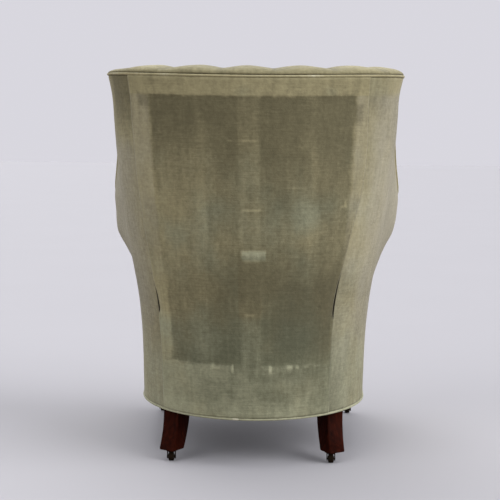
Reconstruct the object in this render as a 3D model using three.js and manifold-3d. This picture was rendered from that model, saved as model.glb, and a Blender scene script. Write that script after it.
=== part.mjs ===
// A deep-buttoned tub chair of about 1890: a horseshoe frame of beech on four mahogany legs with castors,
// sprung and webbed in the seat and covered all over in velvet. Millimetres, +Z up, the floor is z = 0 and
// the chair faces -Y, so its back is at +Y and its left arm, as the sitter has it, is at +X.
import * as THREE from "three";
import { mergeVertices } from "three/addons/utils/BufferGeometryUtils.js";
import Module from "manifold-3d";

const wasm = await Module();
wasm.setup();
const { clamp, lerp, smoothstep } = THREE.MathUtils;

// Driving sizes of the upholstered body
const floorGap = 122.5; // floor to the lower edge of the cover
const crestHeight = 964; // floor to the piping at the middle of the back
const crestCornerRise = 14; // how much higher the piping runs at the back corners
const armHeight = 656; // floor to the piping on the arms
const baseHalfWidth = 298; // lower edge at the back corners
const baseFrontHalfWidth = 312; // lower edge at the front
const baseBackDepth = 330; // lower edge, from the back corners to the middle of the back
const crestHalfWidth = 382; // piping at the back corners
const crestBackDepth = 300; // piping, from the back corners to the middle of the back
const armHalfWidth = 404.5; // piping at the widest place of the arms
const armTuck = 12; // how far the arms draw in again at their front
const bodyDepth = 665; // lower edge at the middle of the back to the front end of the walls
const backRake = 75; // how far the piping overhangs the lower edge at the middle of the back
const seatHeight = 450; // floor to the top of the seat's crown
const seatNose = 42; // how far the seat reaches in front of the walls

// Driving sizes of the wall, counted inwards from the outside of the cover
const fit = 0.3; // gap between pieces that touch
const coverThickness = 3; // velvet with its hessian lining
const frameThickness = 28; // beech rails and posts
const webThickness = 2; // jute webbing
const canvasThickness = 1.5;
const backFace = 116; // outside of the cover to the face of the inside back
const armFace = 99; // outside of the cover to the face of the inside arm
const lumbarSwell = 12; // extra depth of the inside back at the small of the sitter's back
const pipingRadius = 2.6;

// Driving sizes of the legs and castors
const castorHeight = 28; // floor to the underside of a leg
const legWidth = 50; // back legs, square
const legFootWidth = 46;
const legTurn = 33; // degrees that a back leg is turned out of square with the chair
const legSweep = 56; // how far its foot sweeps to the back
const legSplay = 11; // and to the side
const frontLegWidth = 50; // square block of a front leg
const frontLegSink = 6; // how far a front leg stands in from the side rail's outside
const wheelRadius = 11;
const wheelWidth = 16;

// Places along the wall are shares of its half length: 0 at the middle of the back, 1 at the end of an arm, and
// negative on the sitter's right
const cornerShare = 0.56; // where the bend of the back meets the side
const seamShare = 0.303; // seam between the outside back and the outside arm
const postShare = 0.3; // middle of a back leg and of the post above it
const slatShare = 0.129; // middle of a side slat
const wingShare = 0.56; // middle of a wing post
const jointShare = 0.0015; // gap between two pieces end to end
const lobesPerSide = 8.5; // lobes of the buttoning on each half of the wall
const backLobes = 4.5; // of these, the ones on each half of the inside back

// Outlines of the wall. In each pair the first number is a share of the height and the second a share of the flare.
const backLeanShares = [[0, 0], [0.45, 0.37], [0.85, 0.77], [0.95, 0.9], [1, 1]];
const cornerFlareShares = [
  [0, 0], [0.17, 0.03], [0.25, 0.07], [0.33, 0.15], [0.445, 0.35], [0.56, 0.55], [0.66, 0.69], [0.73, 0.755],
  [0.86, 0.82], [0.93, 0.875], [1, 1],
];
const armFlareShares = [
  [0, 0], [0.15, 0], [0.275, 0.04], [0.405, 0.13], [0.54, 0.305], [0.67, 0.54], [0.735, 0.69], [0.8, 0.865],
  [0.865, 0.95], [0.93, 0.985], [1, 1], [1.2, 0.9], [1.45, 0.83], [1.65, 0.82],
];
const armFullShare = 0.66; // share of the side at which the arm is at its widest
const armLevelShare = 0.75; // share of the side over which the piping falls from the wing to the arm
const facetsPerLobe = 2;
const wallStations = lobesPerSide * facetsPerLobe; // facets of the wall on each half
// Levels at which the wall is creased, as shares of its height, which reach above the crest
const levelShares = [
  0, 0.107, 0.208, 0.267, 0.327, 0.375, 0.416, 0.458, 0.5, 0.542, 0.59, 0.661, 0.78, 0.9, 0.971, 1.2,
];
const wallLevels = [0, ...levelShares.map((share) => floorGap + share * (crestHeight - floorGap))];

const backFoot = (bodyDepth + seatNose - backRake) / 2; // y of the lower edge at the middle of the back
const wallFront = backFoot - bodyDepth; // y of the front end of the walls
const frameInset = coverThickness + fit;
const frameInner = frameInset + frameThickness;
const padBack = frameInner + fit + canvasThickness + fit; // back of the inside upholstery

// The value at a place on a smooth line through [place, value] points.
function through(points, place) {
  const last = points.length - 1;
  if (place <= points[0][0]) return points[0][1];
  if (place >= points[last][0]) return points[last][1];
  const k = points.findIndex((p, i) => i > 0 && place <= p[0]) - 1;
  const slope = (i) => {
    const a = points[Math.max(i - 1, 0)];
    const b = points[Math.min(i + 1, last)];
    return (b[1] - a[1]) / (b[0] - a[0]);
  };
  const [x0, y0] = points[k];
  const [x1, y1] = points[k + 1];
  const t = (place - x0) / (x1 - x0);
  const bend = smoothstep(t, 0, 1);
  const run = x1 - x0;
  return lerp(y0, y1, bend) + run * t * (1 - t) * (slope(k) * (1 - t) - slope(k + 1) * t);
}

// A point of the smooth wall at a share of its half length and a height, sunk inwards by an inset.
function smoothPoint(share, height, inset) {
  const side = share < 0 ? -1 : 1;
  const run = Math.abs(share);
  const rise = (height - floorGap) / (crestHeight + crestCornerRise - floorGap);
  const armRise = (height - floorGap) / (armHeight - floorGap);
  const lean = through(backLeanShares, rise);
  const halfWidth = lerp(baseHalfWidth, crestHalfWidth, through(cornerFlareShares, rise));
  const backDepth = lerp(baseBackDepth, crestBackDepth, lean);
  const cornerY = backFoot + backRake * lean - backDepth;
  if (run <= cornerShare) {
    const turn = ((run / cornerShare) * Math.PI) / 2;
    const across = new THREE.Vector2(Math.sin(turn) / halfWidth, Math.cos(turn) / backDepth).normalize();
    const x = halfWidth * Math.sin(turn) - inset * across.x;
    const y = cornerY + backDepth * Math.cos(turn) - inset * across.y;
    return new THREE.Vector3(side * x, y, height);
  }
  const along = (run - cornerShare) / (1 - cornerShare);
  const armSwell = through(armFlareShares, armRise);
  const frontWidth = lerp(baseFrontHalfWidth, armHalfWidth, armSwell);
  const spread = lerp(along, smoothstep(along, 0, armFullShare), clamp(armSwell, 0, 1));
  const tuck = armTuck * armSwell * smoothstep(along, armFullShare, 1);
  const x = lerp(halfWidth, frontWidth, spread) - tuck - inset;
  return new THREE.Vector3(side * x, lerp(cornerY, wallFront, along), height);
}

function stationBelow(share) {
  return Math.min(Math.floor((share + 1) * wallStations), 2 * wallStations - 1) / wallStations - 1;
}

// The same on the faceted wall, whose facets all its layers share so that no layer runs into the next.
function wallPoint(share, height, inset) {
  const station = stationBelow(share);
  const level = wallLevels.findIndex((top, i) => i > 0 && height <= top) - 1;
  const [low, high] = [wallLevels[level], wallLevels[level + 1]];
  const row = (at) => {
    const start = smoothPoint(station, at, inset);
    return start.lerp(smoothPoint(station + 1 / wallStations, at, inset), (share - station) * wallStations);
  };
  return row(low).lerp(row(high), (height - low) / (high - low));
}

// The stations between two shares and the levels between two heights, with both ends.
const stationMargin = 0.002;
function stationsBetween(from, to) {
  const all = Array.from({ length: 2 * wallStations + 1 }, (_, i) => i / wallStations - 1);
  const [low, high] = [Math.min(from, to), Math.max(from, to)];
  const kept = [low, ...all.filter((share) => share > low + stationMargin && share < high - stationMargin), high];
  return from < to ? kept : kept.reverse();
}

function levelsBetween(low, high, span) {
  return [low, ...span.map((level) => clamp(level, low, high)), high];
}

// How much of the wall's half length a length in millimetres takes at a place.
function shareFor(length, share, height) {
  const step = 1 / wallStations;
  return (length * step) / wallPoint(share, height, 0).distanceTo(wallPoint(share - step, height, 0));
}

// An upright of the frame: its middle as a share, its width, and its thickness inwards.
function upright(middle, width, low, high, thickness = frameThickness) {
  const half = shareFor(width, Math.abs(middle), floorGap) / 2;
  const layer = { outer: frameInset, inner: frameInset + thickness };
  return wallPiece({ from: middle - half, to: middle + half, low, high, ...layer });
}

// The way out of the wall at a place, level.
function outward(share, height) {
  return wallPoint(share, height, 0).sub(wallPoint(share, height, 1));
}

// The height of the piping at a share of the wall's half length, smooth and then faceted like the wall.
function smoothRim(share) {
  const run = Math.abs(share);
  const corner = crestHeight + crestCornerRise * smoothstep(run, 0, cornerShare);
  const fall = smoothstep((run - cornerShare) / (1 - cornerShare), 0, armLevelShare);
  return lerp(corner, armHeight, fall);
}

function rimHeight(share) {
  const station = stationBelow(share);
  const next = station + 1 / wallStations;
  return lerp(smoothRim(station), smoothRim(next), (share - station) * wallStations);
}

// The inset of the face of the inside upholstery, without its buttoning.
const armStartShare = 0.5; // share of the wall where the inside back thins towards the arm
const lumbarHeight = 590;
const lumbarReach = 210;
function faceInset(share, height) {
  const toArm = smoothstep(Math.abs(share), armStartShare / 2, armStartShare + armStartShare / 2);
  const lumbar = lumbarSwell * (1 - smoothstep(Math.abs(height - lumbarHeight), 0, lumbarReach));
  return lerp(backFace + lumbar, armFace, toArm);
}

// Closed bodies

const weld = 1e-4;

// The same closed body with its vertices shared and its faces turned outwards.
function closed(geometry) {
  geometry.deleteAttribute("normal");
  geometry.deleteAttribute("uv");
  const body = mergeVertices(geometry, weld);
  const position = body.getAttribute("position");
  const index = [];
  for (let i = 0; i < body.index.count; i += 3) {
    const [p, q, r] = [0, 1, 2].map((corner) => body.index.array[i + corner]);
    if (p !== q && q !== r && r !== p) index.push(p, q, r);
  }
  const [a, b, c] = [new THREE.Vector3(), new THREE.Vector3(), new THREE.Vector3()];
  let volume = 0;
  for (let i = 0; i < index.length; i += 3) {
    a.fromBufferAttribute(position, index[i]);
    b.fromBufferAttribute(position, index[i + 1]);
    c.fromBufferAttribute(position, index[i + 2]);
    volume += a.dot(b.cross(c));
  }
  if (volume < 0) {
    for (let i = 0; i < index.length; i += 3) [index[i], index[i + 1]] = [index[i + 1], index[i]];
  }
  body.setIndex(index);
  return body;
}

// How far the middle of two points lies from the upright axis.
const reachOf = (p, q) => Math.hypot(p.x + q.x, p.y + q.y);

// A body through a row of rings of points. Its two ends are filled, each as a flat outline. Where pleats is set,
// each facet is parted along its deeper diagonal, so that pleats run clean across it.
function loft(rings, pleats = false) {
  const count = rings[0].length;
  const index = [];
  for (let r = 0; r + 1 < rings.length; r++) {
    for (let i = 0; i < count; i++) {
      const next = (i + 1) % count;
      const [a, b] = [r * count + i, r * count + next];
      const [c, d] = [b + count, a + count];
      const other = pleats && reachOf(rings[r][next], rings[r + 1][i]) > reachOf(rings[r][i], rings[r + 1][next]);
      index.push(...(other ? [a, b, d, b, c, d] : [a, b, c, a, c, d]));
    }
  }
  const fill = (ring, start, flip) => {
    const middle = ring.reduce((sum, p) => sum.add(p), new THREE.Vector3()).divideScalar(count);
    const normal = new THREE.Vector3();
    ring.forEach((p, i) => {
      const q = ring[(i + 1) % count];
      normal.add(p.clone().sub(middle).cross(q.clone().sub(middle)));
    });
    normal.normalize();
    const across = ring[0].clone().sub(middle).projectOnPlane(normal).normalize();
    const up = normal.clone().cross(across);
    const flat = ring.map((p) => new THREE.Vector2(p.dot(across), p.dot(up)));
    for (const [i, j, k] of THREE.ShapeUtils.triangulateShape(flat, [])) {
      index.push(start + i, start + (flip ? k : j), start + (flip ? j : k));
    }
  };
  fill(rings[0], 0, true);
  fill(rings[rings.length - 1], (rings.length - 1) * count, false);
  const points = rings.flat().flatMap((p) => [p.x, p.y, p.z]);
  const body = new THREE.BufferGeometry();
  body.setAttribute("position", new THREE.Float32BufferAttribute(points, 3));
  body.setIndex(index);
  return closed(body);
}

// The places from one value to another, in equal steps.
function stepsBetween(from, to, steps) {
  return Array.from({ length: steps + 1 }, (_, i) => lerp(from, to, i / steps));
}

// A piece of the wall between two shares, two heights and two insets. The heights may change along the wall.
function wallPiece({ from, to, low, high, outer, inner }) {
  const shares = stationsBetween(from, to);
  const ends = shares.map((share) => [low, high].map((edge) => (typeof edge === "function" ? edge(share) : edge)));
  const lowest = Math.min(...ends.map((edges) => edges[0]));
  const highest = Math.max(...ends.map((edges) => edges[1]));
  const span = wallLevels.filter((level) => level > lowest && level < highest);
  const rings = shares.map((share, i) => {
    const heights = levelsBetween(...ends[i], span);
    const outside = heights.map((height) => wallPoint(share, height, outer));
    const inside = heights.map((height) => wallPoint(share, height, inner)).reverse();
    return [...outside, ...inside];
  });
  return loft(rings);
}

// A round-sided tube of a radius along a line of points, with flat ends.
function tube(points, radius, sides, steps) {
  const corners = Array.from({ length: sides }, (_, i) => {
    const turn = (i / sides) * Math.PI * 2;
    return new THREE.Vector2(radius * Math.cos(turn), radius * Math.sin(turn));
  });
  const path = new THREE.CatmullRomCurve3(points, false, "centripetal");
  return closed(new THREE.ExtrudeGeometry(new THREE.Shape(corners), { extrudePath: path, steps, curveSegments: 1 }));
}

// A turned body: pairs of radius and height, spun about the vertical axis.
function turned(pairs, sides, start = 0) {
  const profile = pairs.map(([radius, height]) => new THREE.Vector2(radius, height));
  return closed(new THREE.LatheGeometry(profile, sides, start).rotateX(Math.PI / 2));
}

function box(width, depth, height, x, y, z) {
  return closed(new THREE.BoxGeometry(width, depth, height).translate(x, y, z));
}

function solidOf(geometry) {
  const vertProperties = geometry.getAttribute("position").array;
  const triVerts = Uint32Array.from(geometry.index.array);
  return new wasm.Manifold(new wasm.Mesh({ numProp: 3, vertProperties, triVerts }));
}

function geometryOf(solid) {
  const mesh = solid.getMesh();
  const body = new THREE.BufferGeometry();
  body.setAttribute("position", new THREE.Float32BufferAttribute(mesh.vertProperties, mesh.numProp));
  body.setIndex(Array.from(mesh.triVerts));
  return body;
}

function cut(geometry, ...cutters) {
  const rest = cutters.reduce((solid, cutter) => solid.subtract(solidOf(cutter)), solidOf(geometry));
  return geometryOf(rest);
}

function join(...geometries) {
  return geometryOf(geometries.map(solidOf).reduce((whole, piece) => whole.add(piece)));
}

// The biggest body of a cut piece, without the crumbs that a cut leaves.
function largest(geometry) {
  const bodies = solidOf(geometry).decompose();
  return geometryOf(bodies.sort((a, b) => b.volume() - a.volume())[0]);
}

// Materials

const finish = (color, roughness, metalness = 0) => new THREE.MeshStandardMaterial({ color, roughness, metalness });
const velvet = finish(0x7b7a5c, 0.95);
const wornVelvet = finish(0x9a987c, 0.95);
const beech = finish(0xb08a5a, 0.7);
const mahogany = finish(0x4a1c12, 0.35);
const jute = finish(0x8c7448, 0.95);
const linen = finish(0x1f1e1b, 0.95);
const spring = finish(0x6b5640, 0.5, 0.9);
const iron = finish(0x1e1c1a, 0.5, 0.9);
const vulcanite = finish(0x17140f, 0.45);

const chair = new THREE.Group();
function add(name, geometry, material, parent = chair) {
  const mesh = new THREE.Mesh(geometry, material);
  mesh.name = name;
  parent.add(mesh);
}
const sides = [["left", 1], ["right", -1]];

// Legs. A back leg and the post above it are one piece of wood, sawn to the sweep of the wall.

const backRailHeight = 128; // the back rail is deep, as the wear in the cover shows
const sideRailHeight = 88;
const railLift = 8; // lower edge of the cover to the underside of the rails
const crestRailHeight = 46;
const postWidth = 40;
const facetTurn = Math.PI / 2 / (cornerShare * wallStations);
const wallOut = outward(postShare, floorGap);
const legLean = Math.atan2(wallOut.x, wallOut.y) - THREE.MathUtils.degToRad(legTurn); // leg against the wall
const legReach = (legWidth / 2) * (Math.cos(legLean) + Math.sin(legLean)); // middle of a leg to its outermost corner
const cornerOffset = (legWidth / 2) * (Math.cos(legLean) - Math.sin(legLean)); // how far along the wall that corner is
const legSink = (legWidth / 2) * Math.sin(facetTurn); // keeps the corners of a leg inside the cover
const legInset = frameInset + legSink + legReach;
const legChamfer = 4;
const railBottom = floorGap + railLift;
const backRailTop = railBottom + backRailHeight;
const sideRailTop = railBottom + sideRailHeight;
const topRailDrop = 1; // the top rails end a little under the crest of the upholstery
const topRailTop = (share) => rimHeight(share) + pipingRadius - topRailDrop;
const topRailBottom = (share) => topRailTop(share) - crestRailHeight;
const underRail = (share) => topRailBottom(share) - fit;

// One square of a back leg at a height.
function legSquare(side, height, width) {
  const share = side * postShare;
  const held = Math.max(height, floorGap);
  const turn = side * THREE.MathUtils.degToRad(legTurn);
  const out = new THREE.Vector3(Math.sin(turn), Math.cos(turn), 0);
  const along = new THREE.Vector3(-out.y, out.x, 0);
  const drop = (held - height) / (floorGap - castorHeight);
  const sweep = new THREE.Vector3(side * legSplay, legSweep, 0);
  const centre = wallPoint(share, held, legInset).addScaledVector(sweep, drop * drop);
  return [[-1, -1], [1, -1], [1, 1], [-1, 1]].map(([u, v]) => {
    const point = centre.clone().addScaledVector(along, (u * width) / 2).addScaledVector(out, (v * width) / 2);
    return point.setZ(height);
  });
}

const canvasLap = 30; // how far the canvas of the back lies on the rails
const legBlockTop = backRailTop - canvasLap - fit; // above this only the post goes on, under the canvas
const legSteps = 6;
function backLegBlock(side, grow) {
  const foot = castorHeight + legChamfer;
  const below = stepsBetween(foot, floorGap, legSteps).map((height) => {
    const taper = (height - foot) / (floorGap - foot);
    return legSquare(side, height, lerp(legFootWidth, legWidth, taper) + grow);
  });
  const eased = legSquare(side, castorHeight, legFootWidth - legChamfer + grow);
  const inRail = wallLevels.filter((level) => level > floorGap && level < legBlockTop);
  const above = [...inRail, legBlockTop];
  return loft([eased, ...below, ...above.map((height) => legSquare(side, height, legWidth + grow))]);
}

function backPost(side) {
  const middle = side * postShare;
  return upright(middle, postWidth, legBlockTop - legChamfer, underRail);
}

// A front leg is square in the frame and turned below it.
const frontLegY = wallFront + fit + frontLegWidth / 2;
const frontLegBack = 1 - shareFor(frontLegWidth + 2 * fit, 1, floorGap);
const frontLegX = wallPoint(frontLegBack, floorGap, frameInset + frontLegSink + frontLegWidth / 2).x;
const turnedRadius = 24.5;
const turnedSides = 14;
const turnedShares = [
  [0, 0], [0.56, 0], [0.6, 0.04], [0.62, 0.09], [0.55, 0.13], [0.6, 0.2], [0.7, 0.36], [0.8, 0.52], [0.85, 0.66],
  [0.8, 0.76], [0.68, 0.8], [0.72, 0.82], [0.88, 0.85], [0.9, 0.88], [0.8, 0.91], [0.96, 0.93], [1, 0.96], [1, 1],
  [0, 1],
];
const socketRadius = 6.5;
const socketDepth = 17;
const socketHole = turned(
  [[0, -fit], [socketRadius + fit, -fit], [socketRadius + fit, socketDepth + fit], [0, socketDepth + fit]], 12,
).translate(0, 0, castorHeight);

function frontLegBlock(grow) {
  const width = frontLegWidth + grow;
  const height = sideRailTop - floorGap;
  return box(width, width, height + grow, 0, 0, floorGap + height / 2);
}

function frontLeg() {
  const height = floorGap - castorHeight + legChamfer;
  const profile = turnedShares.map(([r, h]) => [r * turnedRadius, castorHeight + h * height]);
  return cut(join(turned(profile, turnedSides), frontLegBlock(0)), socketHole);
}

const legs = [];
for (const [name, side] of sides) {
  const foot = legSquare(side, castorHeight, legFootWidth);
  const centre = foot[0].clone().add(foot[2]).divideScalar(2);
  legs.push([`back_${name}`, centre.x, centre.y]);
  const hole = socketHole.clone().translate(centre.x, centre.y, 0);
  add(`back_leg_${name}`, cut(join(backLegBlock(side, 0), backPost(side)), hole), mahogany);
}
for (const [name, side] of sides) {
  legs.push([`front_${name}`, side * frontLegX, frontLegY]);
  add(`front_leg_${name}`, frontLeg().translate(side * frontLegX, frontLegY, 0), mahogany);
}
const legCutters = sides.flatMap(([, side]) => [
  backLegBlock(side, 2 * fit),
  frontLegBlock(2 * fit).translate(side * frontLegX, frontLegY, 0),
]);

// Castors: a socket and plate let into the leg, a horn that swivels in it, and a wheel on a pin.

const bore = 4.3;
const stem = 4;
const plateRadius = 16.5;
const plateThickness = 2.2;
const hornRadius = 12;
const hornThickness = 2.6;
const cheekThickness = 2.2;
const cheekGap = 0.8; // wheel to cheek
const cheekRadius = 5.5;
const cheekFrontShare = 0.75; // of the horn's radius
const pinRadius = 1.9;
const pinClearance = 0.25;
const trail = 6; // swivel axis to wheel axis
const castorSides = 12;
const wheelSides = 20;
const axleHeight = wheelRadius * Math.cos(Math.PI / wheelSides); // a facet of the wheel lies flat on the floor
const cheekX = wheelWidth / 2 + cheekGap + cheekThickness / 2;
const plateTop = castorHeight - fit;
const plateBottom = plateTop - plateThickness;
const hornTop = plateBottom - fit;

function socket() {
  const top = castorHeight + socketDepth;
  return turned([
    [0, top], [socketRadius, top], [socketRadius, plateTop], [plateRadius, plateTop], [plateRadius, plateBottom],
    [bore, plateBottom], [bore, top - socketRadius + bore], [0, top - socketRadius + bore],
  ], castorSides);
}

function horn() {
  const stemTop = castorHeight + socketDepth - socketRadius + bore - 2 * fit;
  const hub = turned([
    [0, stemTop], [stem, stemTop], [stem, hornTop], [hornRadius, hornTop],
    [hornRadius - hornThickness / 2, hornTop - hornThickness], [0, hornTop - hornThickness],
  ], castorSides);
  const cheek = new THREE.Shape();
  cheek.moveTo(-hornRadius / 2, hornTop - hornThickness / 2);
  cheek.lineTo(trail - cheekRadius, axleHeight);
  cheek.absarc(trail, axleHeight, cheekRadius, Math.PI, 2 * Math.PI, false);
  cheek.lineTo(hornRadius * cheekFrontShare, hornTop - hornThickness / 2);
  const hole = new THREE.Path().absarc(trail, axleHeight, pinRadius + pinClearance, 0, 2 * Math.PI, true);
  cheek.holes.push(hole);
  const cheeks = [-1, 1].map((side) => {
    const plate = new THREE.ExtrudeGeometry(cheek, { depth: cheekThickness, bevelEnabled: false, curveSegments: 4 });
    const stood = plate.rotateX(Math.PI / 2).rotateZ(Math.PI / 2);
    return closed(stood.translate(side * cheekX - cheekThickness / 2, 0, 0));
  });
  return join(hub, ...cheeks);
}

const wheelShares = [
  [0.19, -0.5], [0.52, -0.5], [0.6, -0.4], [0.92, -0.4], [1, -0.22],
  [1, 0.22], [0.92, 0.4], [0.6, 0.4], [0.52, 0.5], [0.19, 0.5], [0.19, -0.5],
];
function wheel() {
  const holeShare = (pinRadius + pinClearance) / wheelRadius;
  const profile = wheelShares.map(([r, w]) => [Math.max(r, holeShare) * wheelRadius, w * wheelWidth]);
  return turned(profile, wheelSides, Math.PI / wheelSides).rotateY(Math.PI / 2);
}

function pin() {
  const half = cheekX + cheekThickness / 2 + fit;
  return turned([[0, -half], [pinRadius, -half], [pinRadius, half], [0, half]], 12).rotateY(Math.PI / 2);
}

for (const [name, x, y] of legs) {
  const castor = new THREE.Group();
  castor.position.set(x, y, 0);
  chair.add(castor);
  add(`castor_socket_${name}`, socket(), iron, castor);
  add(`castor_horn_${name}`, horn(), iron, castor);
  add(`castor_wheel_${name}`, wheel().translate(0, trail, axleHeight), vulcanite, castor);
  add(`castor_pin_${name}`, pin().translate(0, trail, axleHeight), iron, castor);
}

// Frame of beech rails, posts and slats. The rails butt against the legs.

const middleSlatWidth = 52;
const sideSlatWidth = 30;
const slatThickness = 16;
const wingWidth = 40;
const stumpWidth = 58;
const stumpEnd = 8; // arm stump to the end of the arm
const stumpShare = 1 - shareFor(stumpEnd + stumpWidth / 2, 1, floorGap);
const railLayer = { outer: frameInset, inner: frameInner };
const topRailEase = 1.2; // the top rails run aslant over the facets, so they are planed a little thinner
const topRailLayer = { outer: frameInset + topRailEase, inner: frameInner - topRailEase };
const legEdge = shareFor(legWidth / 2, postShare, floorGap);
const legCorner = shareFor(cornerOffset, postShare, floorGap);

add("seat_rail_back", largest(cut(wallPiece({
  from: -postShare + legEdge, to: postShare - legEdge, low: railBottom, high: backRailTop, ...railLayer,
}), ...legCutters)), beech);

const sideRailEnd = frontLegY + frontLegWidth / 2 + fit;
const aheadOfRails = box(bodyDepth * 2, bodyDepth, crestHeight * 2, 0, sideRailEnd - bodyDepth / 2, 0);
for (const [name, side] of sides) {
  add(`seat_rail_${name}`, largest(cut(wallPiece({
    from: side * (postShare + legCorner), to: side, low: railBottom, high: sideRailTop, ...railLayer,
  }), ...legCutters, aheadOfRails)), beech);
}

const frontRailLength = 2 * (frontLegX - frontLegWidth / 2 - fit);
add("seat_rail_front", box(
  frontRailLength, frameThickness, sideRailHeight, 0, frontLegY, railBottom + sideRailHeight / 2,
), beech);

const overBackRail = backRailTop + fit;
const overSideRail = sideRailTop + fit;
add("back_slat_centre", upright(0, middleSlatWidth, overBackRail, underRail, slatThickness), beech);
add("crest_rail", wallPiece({
  from: -wingShare, to: wingShare, low: topRailBottom, high: topRailTop, ...topRailLayer,
}), beech);
for (const [name, side] of sides) {
  add(`back_slat_${name}`, upright(side * slatShare, sideSlatWidth, overBackRail, underRail, slatThickness), beech);
  add(`wing_post_${name}`, upright(side * wingShare, wingWidth, overSideRail, underRail), beech);
  add(`arm_stump_${name}`, upright(side * stumpShare, stumpWidth, overSideRail, underRail), beech);
  add(`arm_rail_${name}`, wallPiece({
    from: side * (wingShare + jointShare), to: side, low: topRailBottom, high: topRailTop, ...topRailLayer,
  }), beech);
}

// Webbing, springs and canvas of the seat, and the webbing that carries the inside back.

const strapWidth = 50;
const strapLap = 24; // how far a strap lies on the rail that it is tacked to

// The outline of the body at a height, sunk inwards by an inset, its front edge moved in by the same.
function bodyOutline(height, inset, front) {
  const far = wallPoint(1, height, inset).x;
  const wall = stationsBetween(-1, 1).map((share) => wallPoint(share, height, inset));
  const kept = wall.filter((p) => p.y > front);
  const ends = [[far, front], [-far, front]].map(([x, y]) => new THREE.Vector3(x, y, height));
  return [...kept, ...ends];
}

function sheet(bottom, thickness, inset, front) {
  const under = bodyOutline(floorGap, inset, front);
  return loft([under.map((p) => p.clone().setZ(bottom)), under.map((p) => p.clone().setZ(bottom + thickness))]);
}

const webBottom = railBottom - fit - webThickness;
const frontRailFace = frontLegY - frameThickness / 2;
const strapsAcross = [-0.22, 0, 0.22]; // shares of the seat's width at which straps run front to back
const strapsAlong = [0.2, 0.47, 0.735]; // shares of the seat's depth at which straps run side to side
const seatSpan = 2 * frontLegX;
const seatDepth = backFoot - frontRailFace;
const lattice = join(
  ...strapsAcross.map((share) => box(
    strapWidth, seatDepth * 2, webThickness, share * seatSpan, 0, webBottom + webThickness / 2,
  )),
  ...strapsAlong.map((share) => box(
    seatSpan * 2, strapWidth, webThickness, 0, frontRailFace + share * seatDepth, webBottom + webThickness / 2,
  )),
);
const webPlan = sheet(webBottom - webThickness, webThickness * 3, frameInner - strapLap, frontRailFace);
const woven = geometryOf(solidOf(lattice).intersect(solidOf(webPlan)));
add("seat_webbing", largest(cut(woven, ...legCutters)), jute);

const dustThickness = 1.2;
const dustSheet = sheet(webBottom - fit - dustThickness, dustThickness, frameInset, frontRailFace);
add("dust_cover", largest(cut(dustSheet, ...legCutters)), linen);

const seatUnderside = 334;
const canvasBottom = seatUnderside - fit - canvasThickness;
const springRadius = 42; // at its ends; the waist is narrower
const springWaistShare = 0.62;
const springFlatShare = 0.3; // how much the turns lie closer at the two ends
const springWire = 2;
const springTurns = 3;
const springStepsPerTurn = 7;
const springSides = 4;
const springBottom = webBottom + webThickness + fit + springWire;
const springTop = canvasBottom - fit - springWire;
const [frontStrap, middleStrap, backStrap] = strapsAlong;
const springPlaces = [
  ...strapsAcross.map((x) => [x, frontStrap]),
  ...strapsAcross.map((x) => [x, middleStrap]),
  [0, backStrap],
];
function seatSpring() {
  const steps = springTurns * springStepsPerTurn;
  const points = stepsBetween(0, 1, steps).map((share) => {
    const turn = share * springTurns * 2 * Math.PI;
    const waist = lerp(1, springWaistShare, Math.sin(share * Math.PI));
    const climb = lerp(share, smoothstep(share, 0, 1), springFlatShare);
    const radius = springRadius * waist;
    return new THREE.Vector3(radius * Math.cos(turn), radius * Math.sin(turn), lerp(springBottom, springTop, climb));
  });
  return tube(points, springWire, springSides, steps);
}
springPlaces.forEach(([x, y], i) => {
  const placed = seatSpring().translate(x * seatSpan, frontRailFace + y * seatDepth, 0);
  add(`seat_spring_${i + 1}`, placed, spring);
});
add("spring_canvas", sheet(canvasBottom, canvasThickness, backFace + strapLap, frontRailFace), jute);

add("back_canvas", wallPiece({
  from: -postShare, to: postShare,
  low: backRailTop - canvasLap, high: (share) => topRailBottom(share) + canvasLap,
  outer: frameInner + fit, inner: frameInner + fit + canvasThickness,
}), jute);

// Outside covers and piping

const coverLow = floorGap + 2 * pipingRadius + fit;
const coverHigh = (share) => rimHeight(share) - pipingRadius - fit;
const cover = (from, to) => wallPiece({ from, to, low: coverLow, high: coverHigh, outer: 0, inner: coverThickness });
add("outside_back", cover(-seamShare, seamShare), velvet);
for (const [name, side] of sides) {
  add(`outside_arm_${name}`, cover(side * (seamShare + jointShare), side), velvet);
}

const pipingSides = 6;
const pipingInset = coverThickness - pipingRadius; // the cord lies in the seam and stands a little proud
function pipingOn(height) {
  return loft(stationsBetween(-1, 1).map((share) => (
    Array.from({ length: pipingSides }, (_, i) => {
      const turn = (i / pipingSides) * 2 * Math.PI;
      const rise = pipingRadius * Math.sin(turn);
      return wallPoint(share, height(share) + rise, pipingInset - pipingRadius * Math.cos(turn));
    })
  )));
}
add("rim_piping", pipingOn(rimHeight), wornVelvet);
add("base_piping", pipingOn(() => floorGap + pipingRadius), wornVelvet);

// Inside back and arms. The buttons lie in rows below the piping, staggered, and pleats join them; above the top
// row the pleats run straight over the crest.

const topRowDrop = 92; // piping to the top row of buttons
const rowSpacing = 100;
const buttonDepth = 27;
const pleatDepthShare = 0.55; // of the button's depth, half way between two buttons
const buttonReachShare = 0.3; // how far a button draws the pleat down, as a share of a lobe
const crestRise = 24; // piping to the top of a lobe
const crestPleat = 8; // how much lower the crest is at a pleat
const crestShares = [
  [0.97, 0.45], [0.87, 0.83], [0.67, 1], [0.38, 0.88], [0.13, 0.64], [0.025, 0.34], [0, 0],
]; // section of the crest: share of the way in from the outside, and share of its rise
const tuftFadeLow = 425;
const tuftFadeHigh = 470;
const padFoot = 300;

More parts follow.
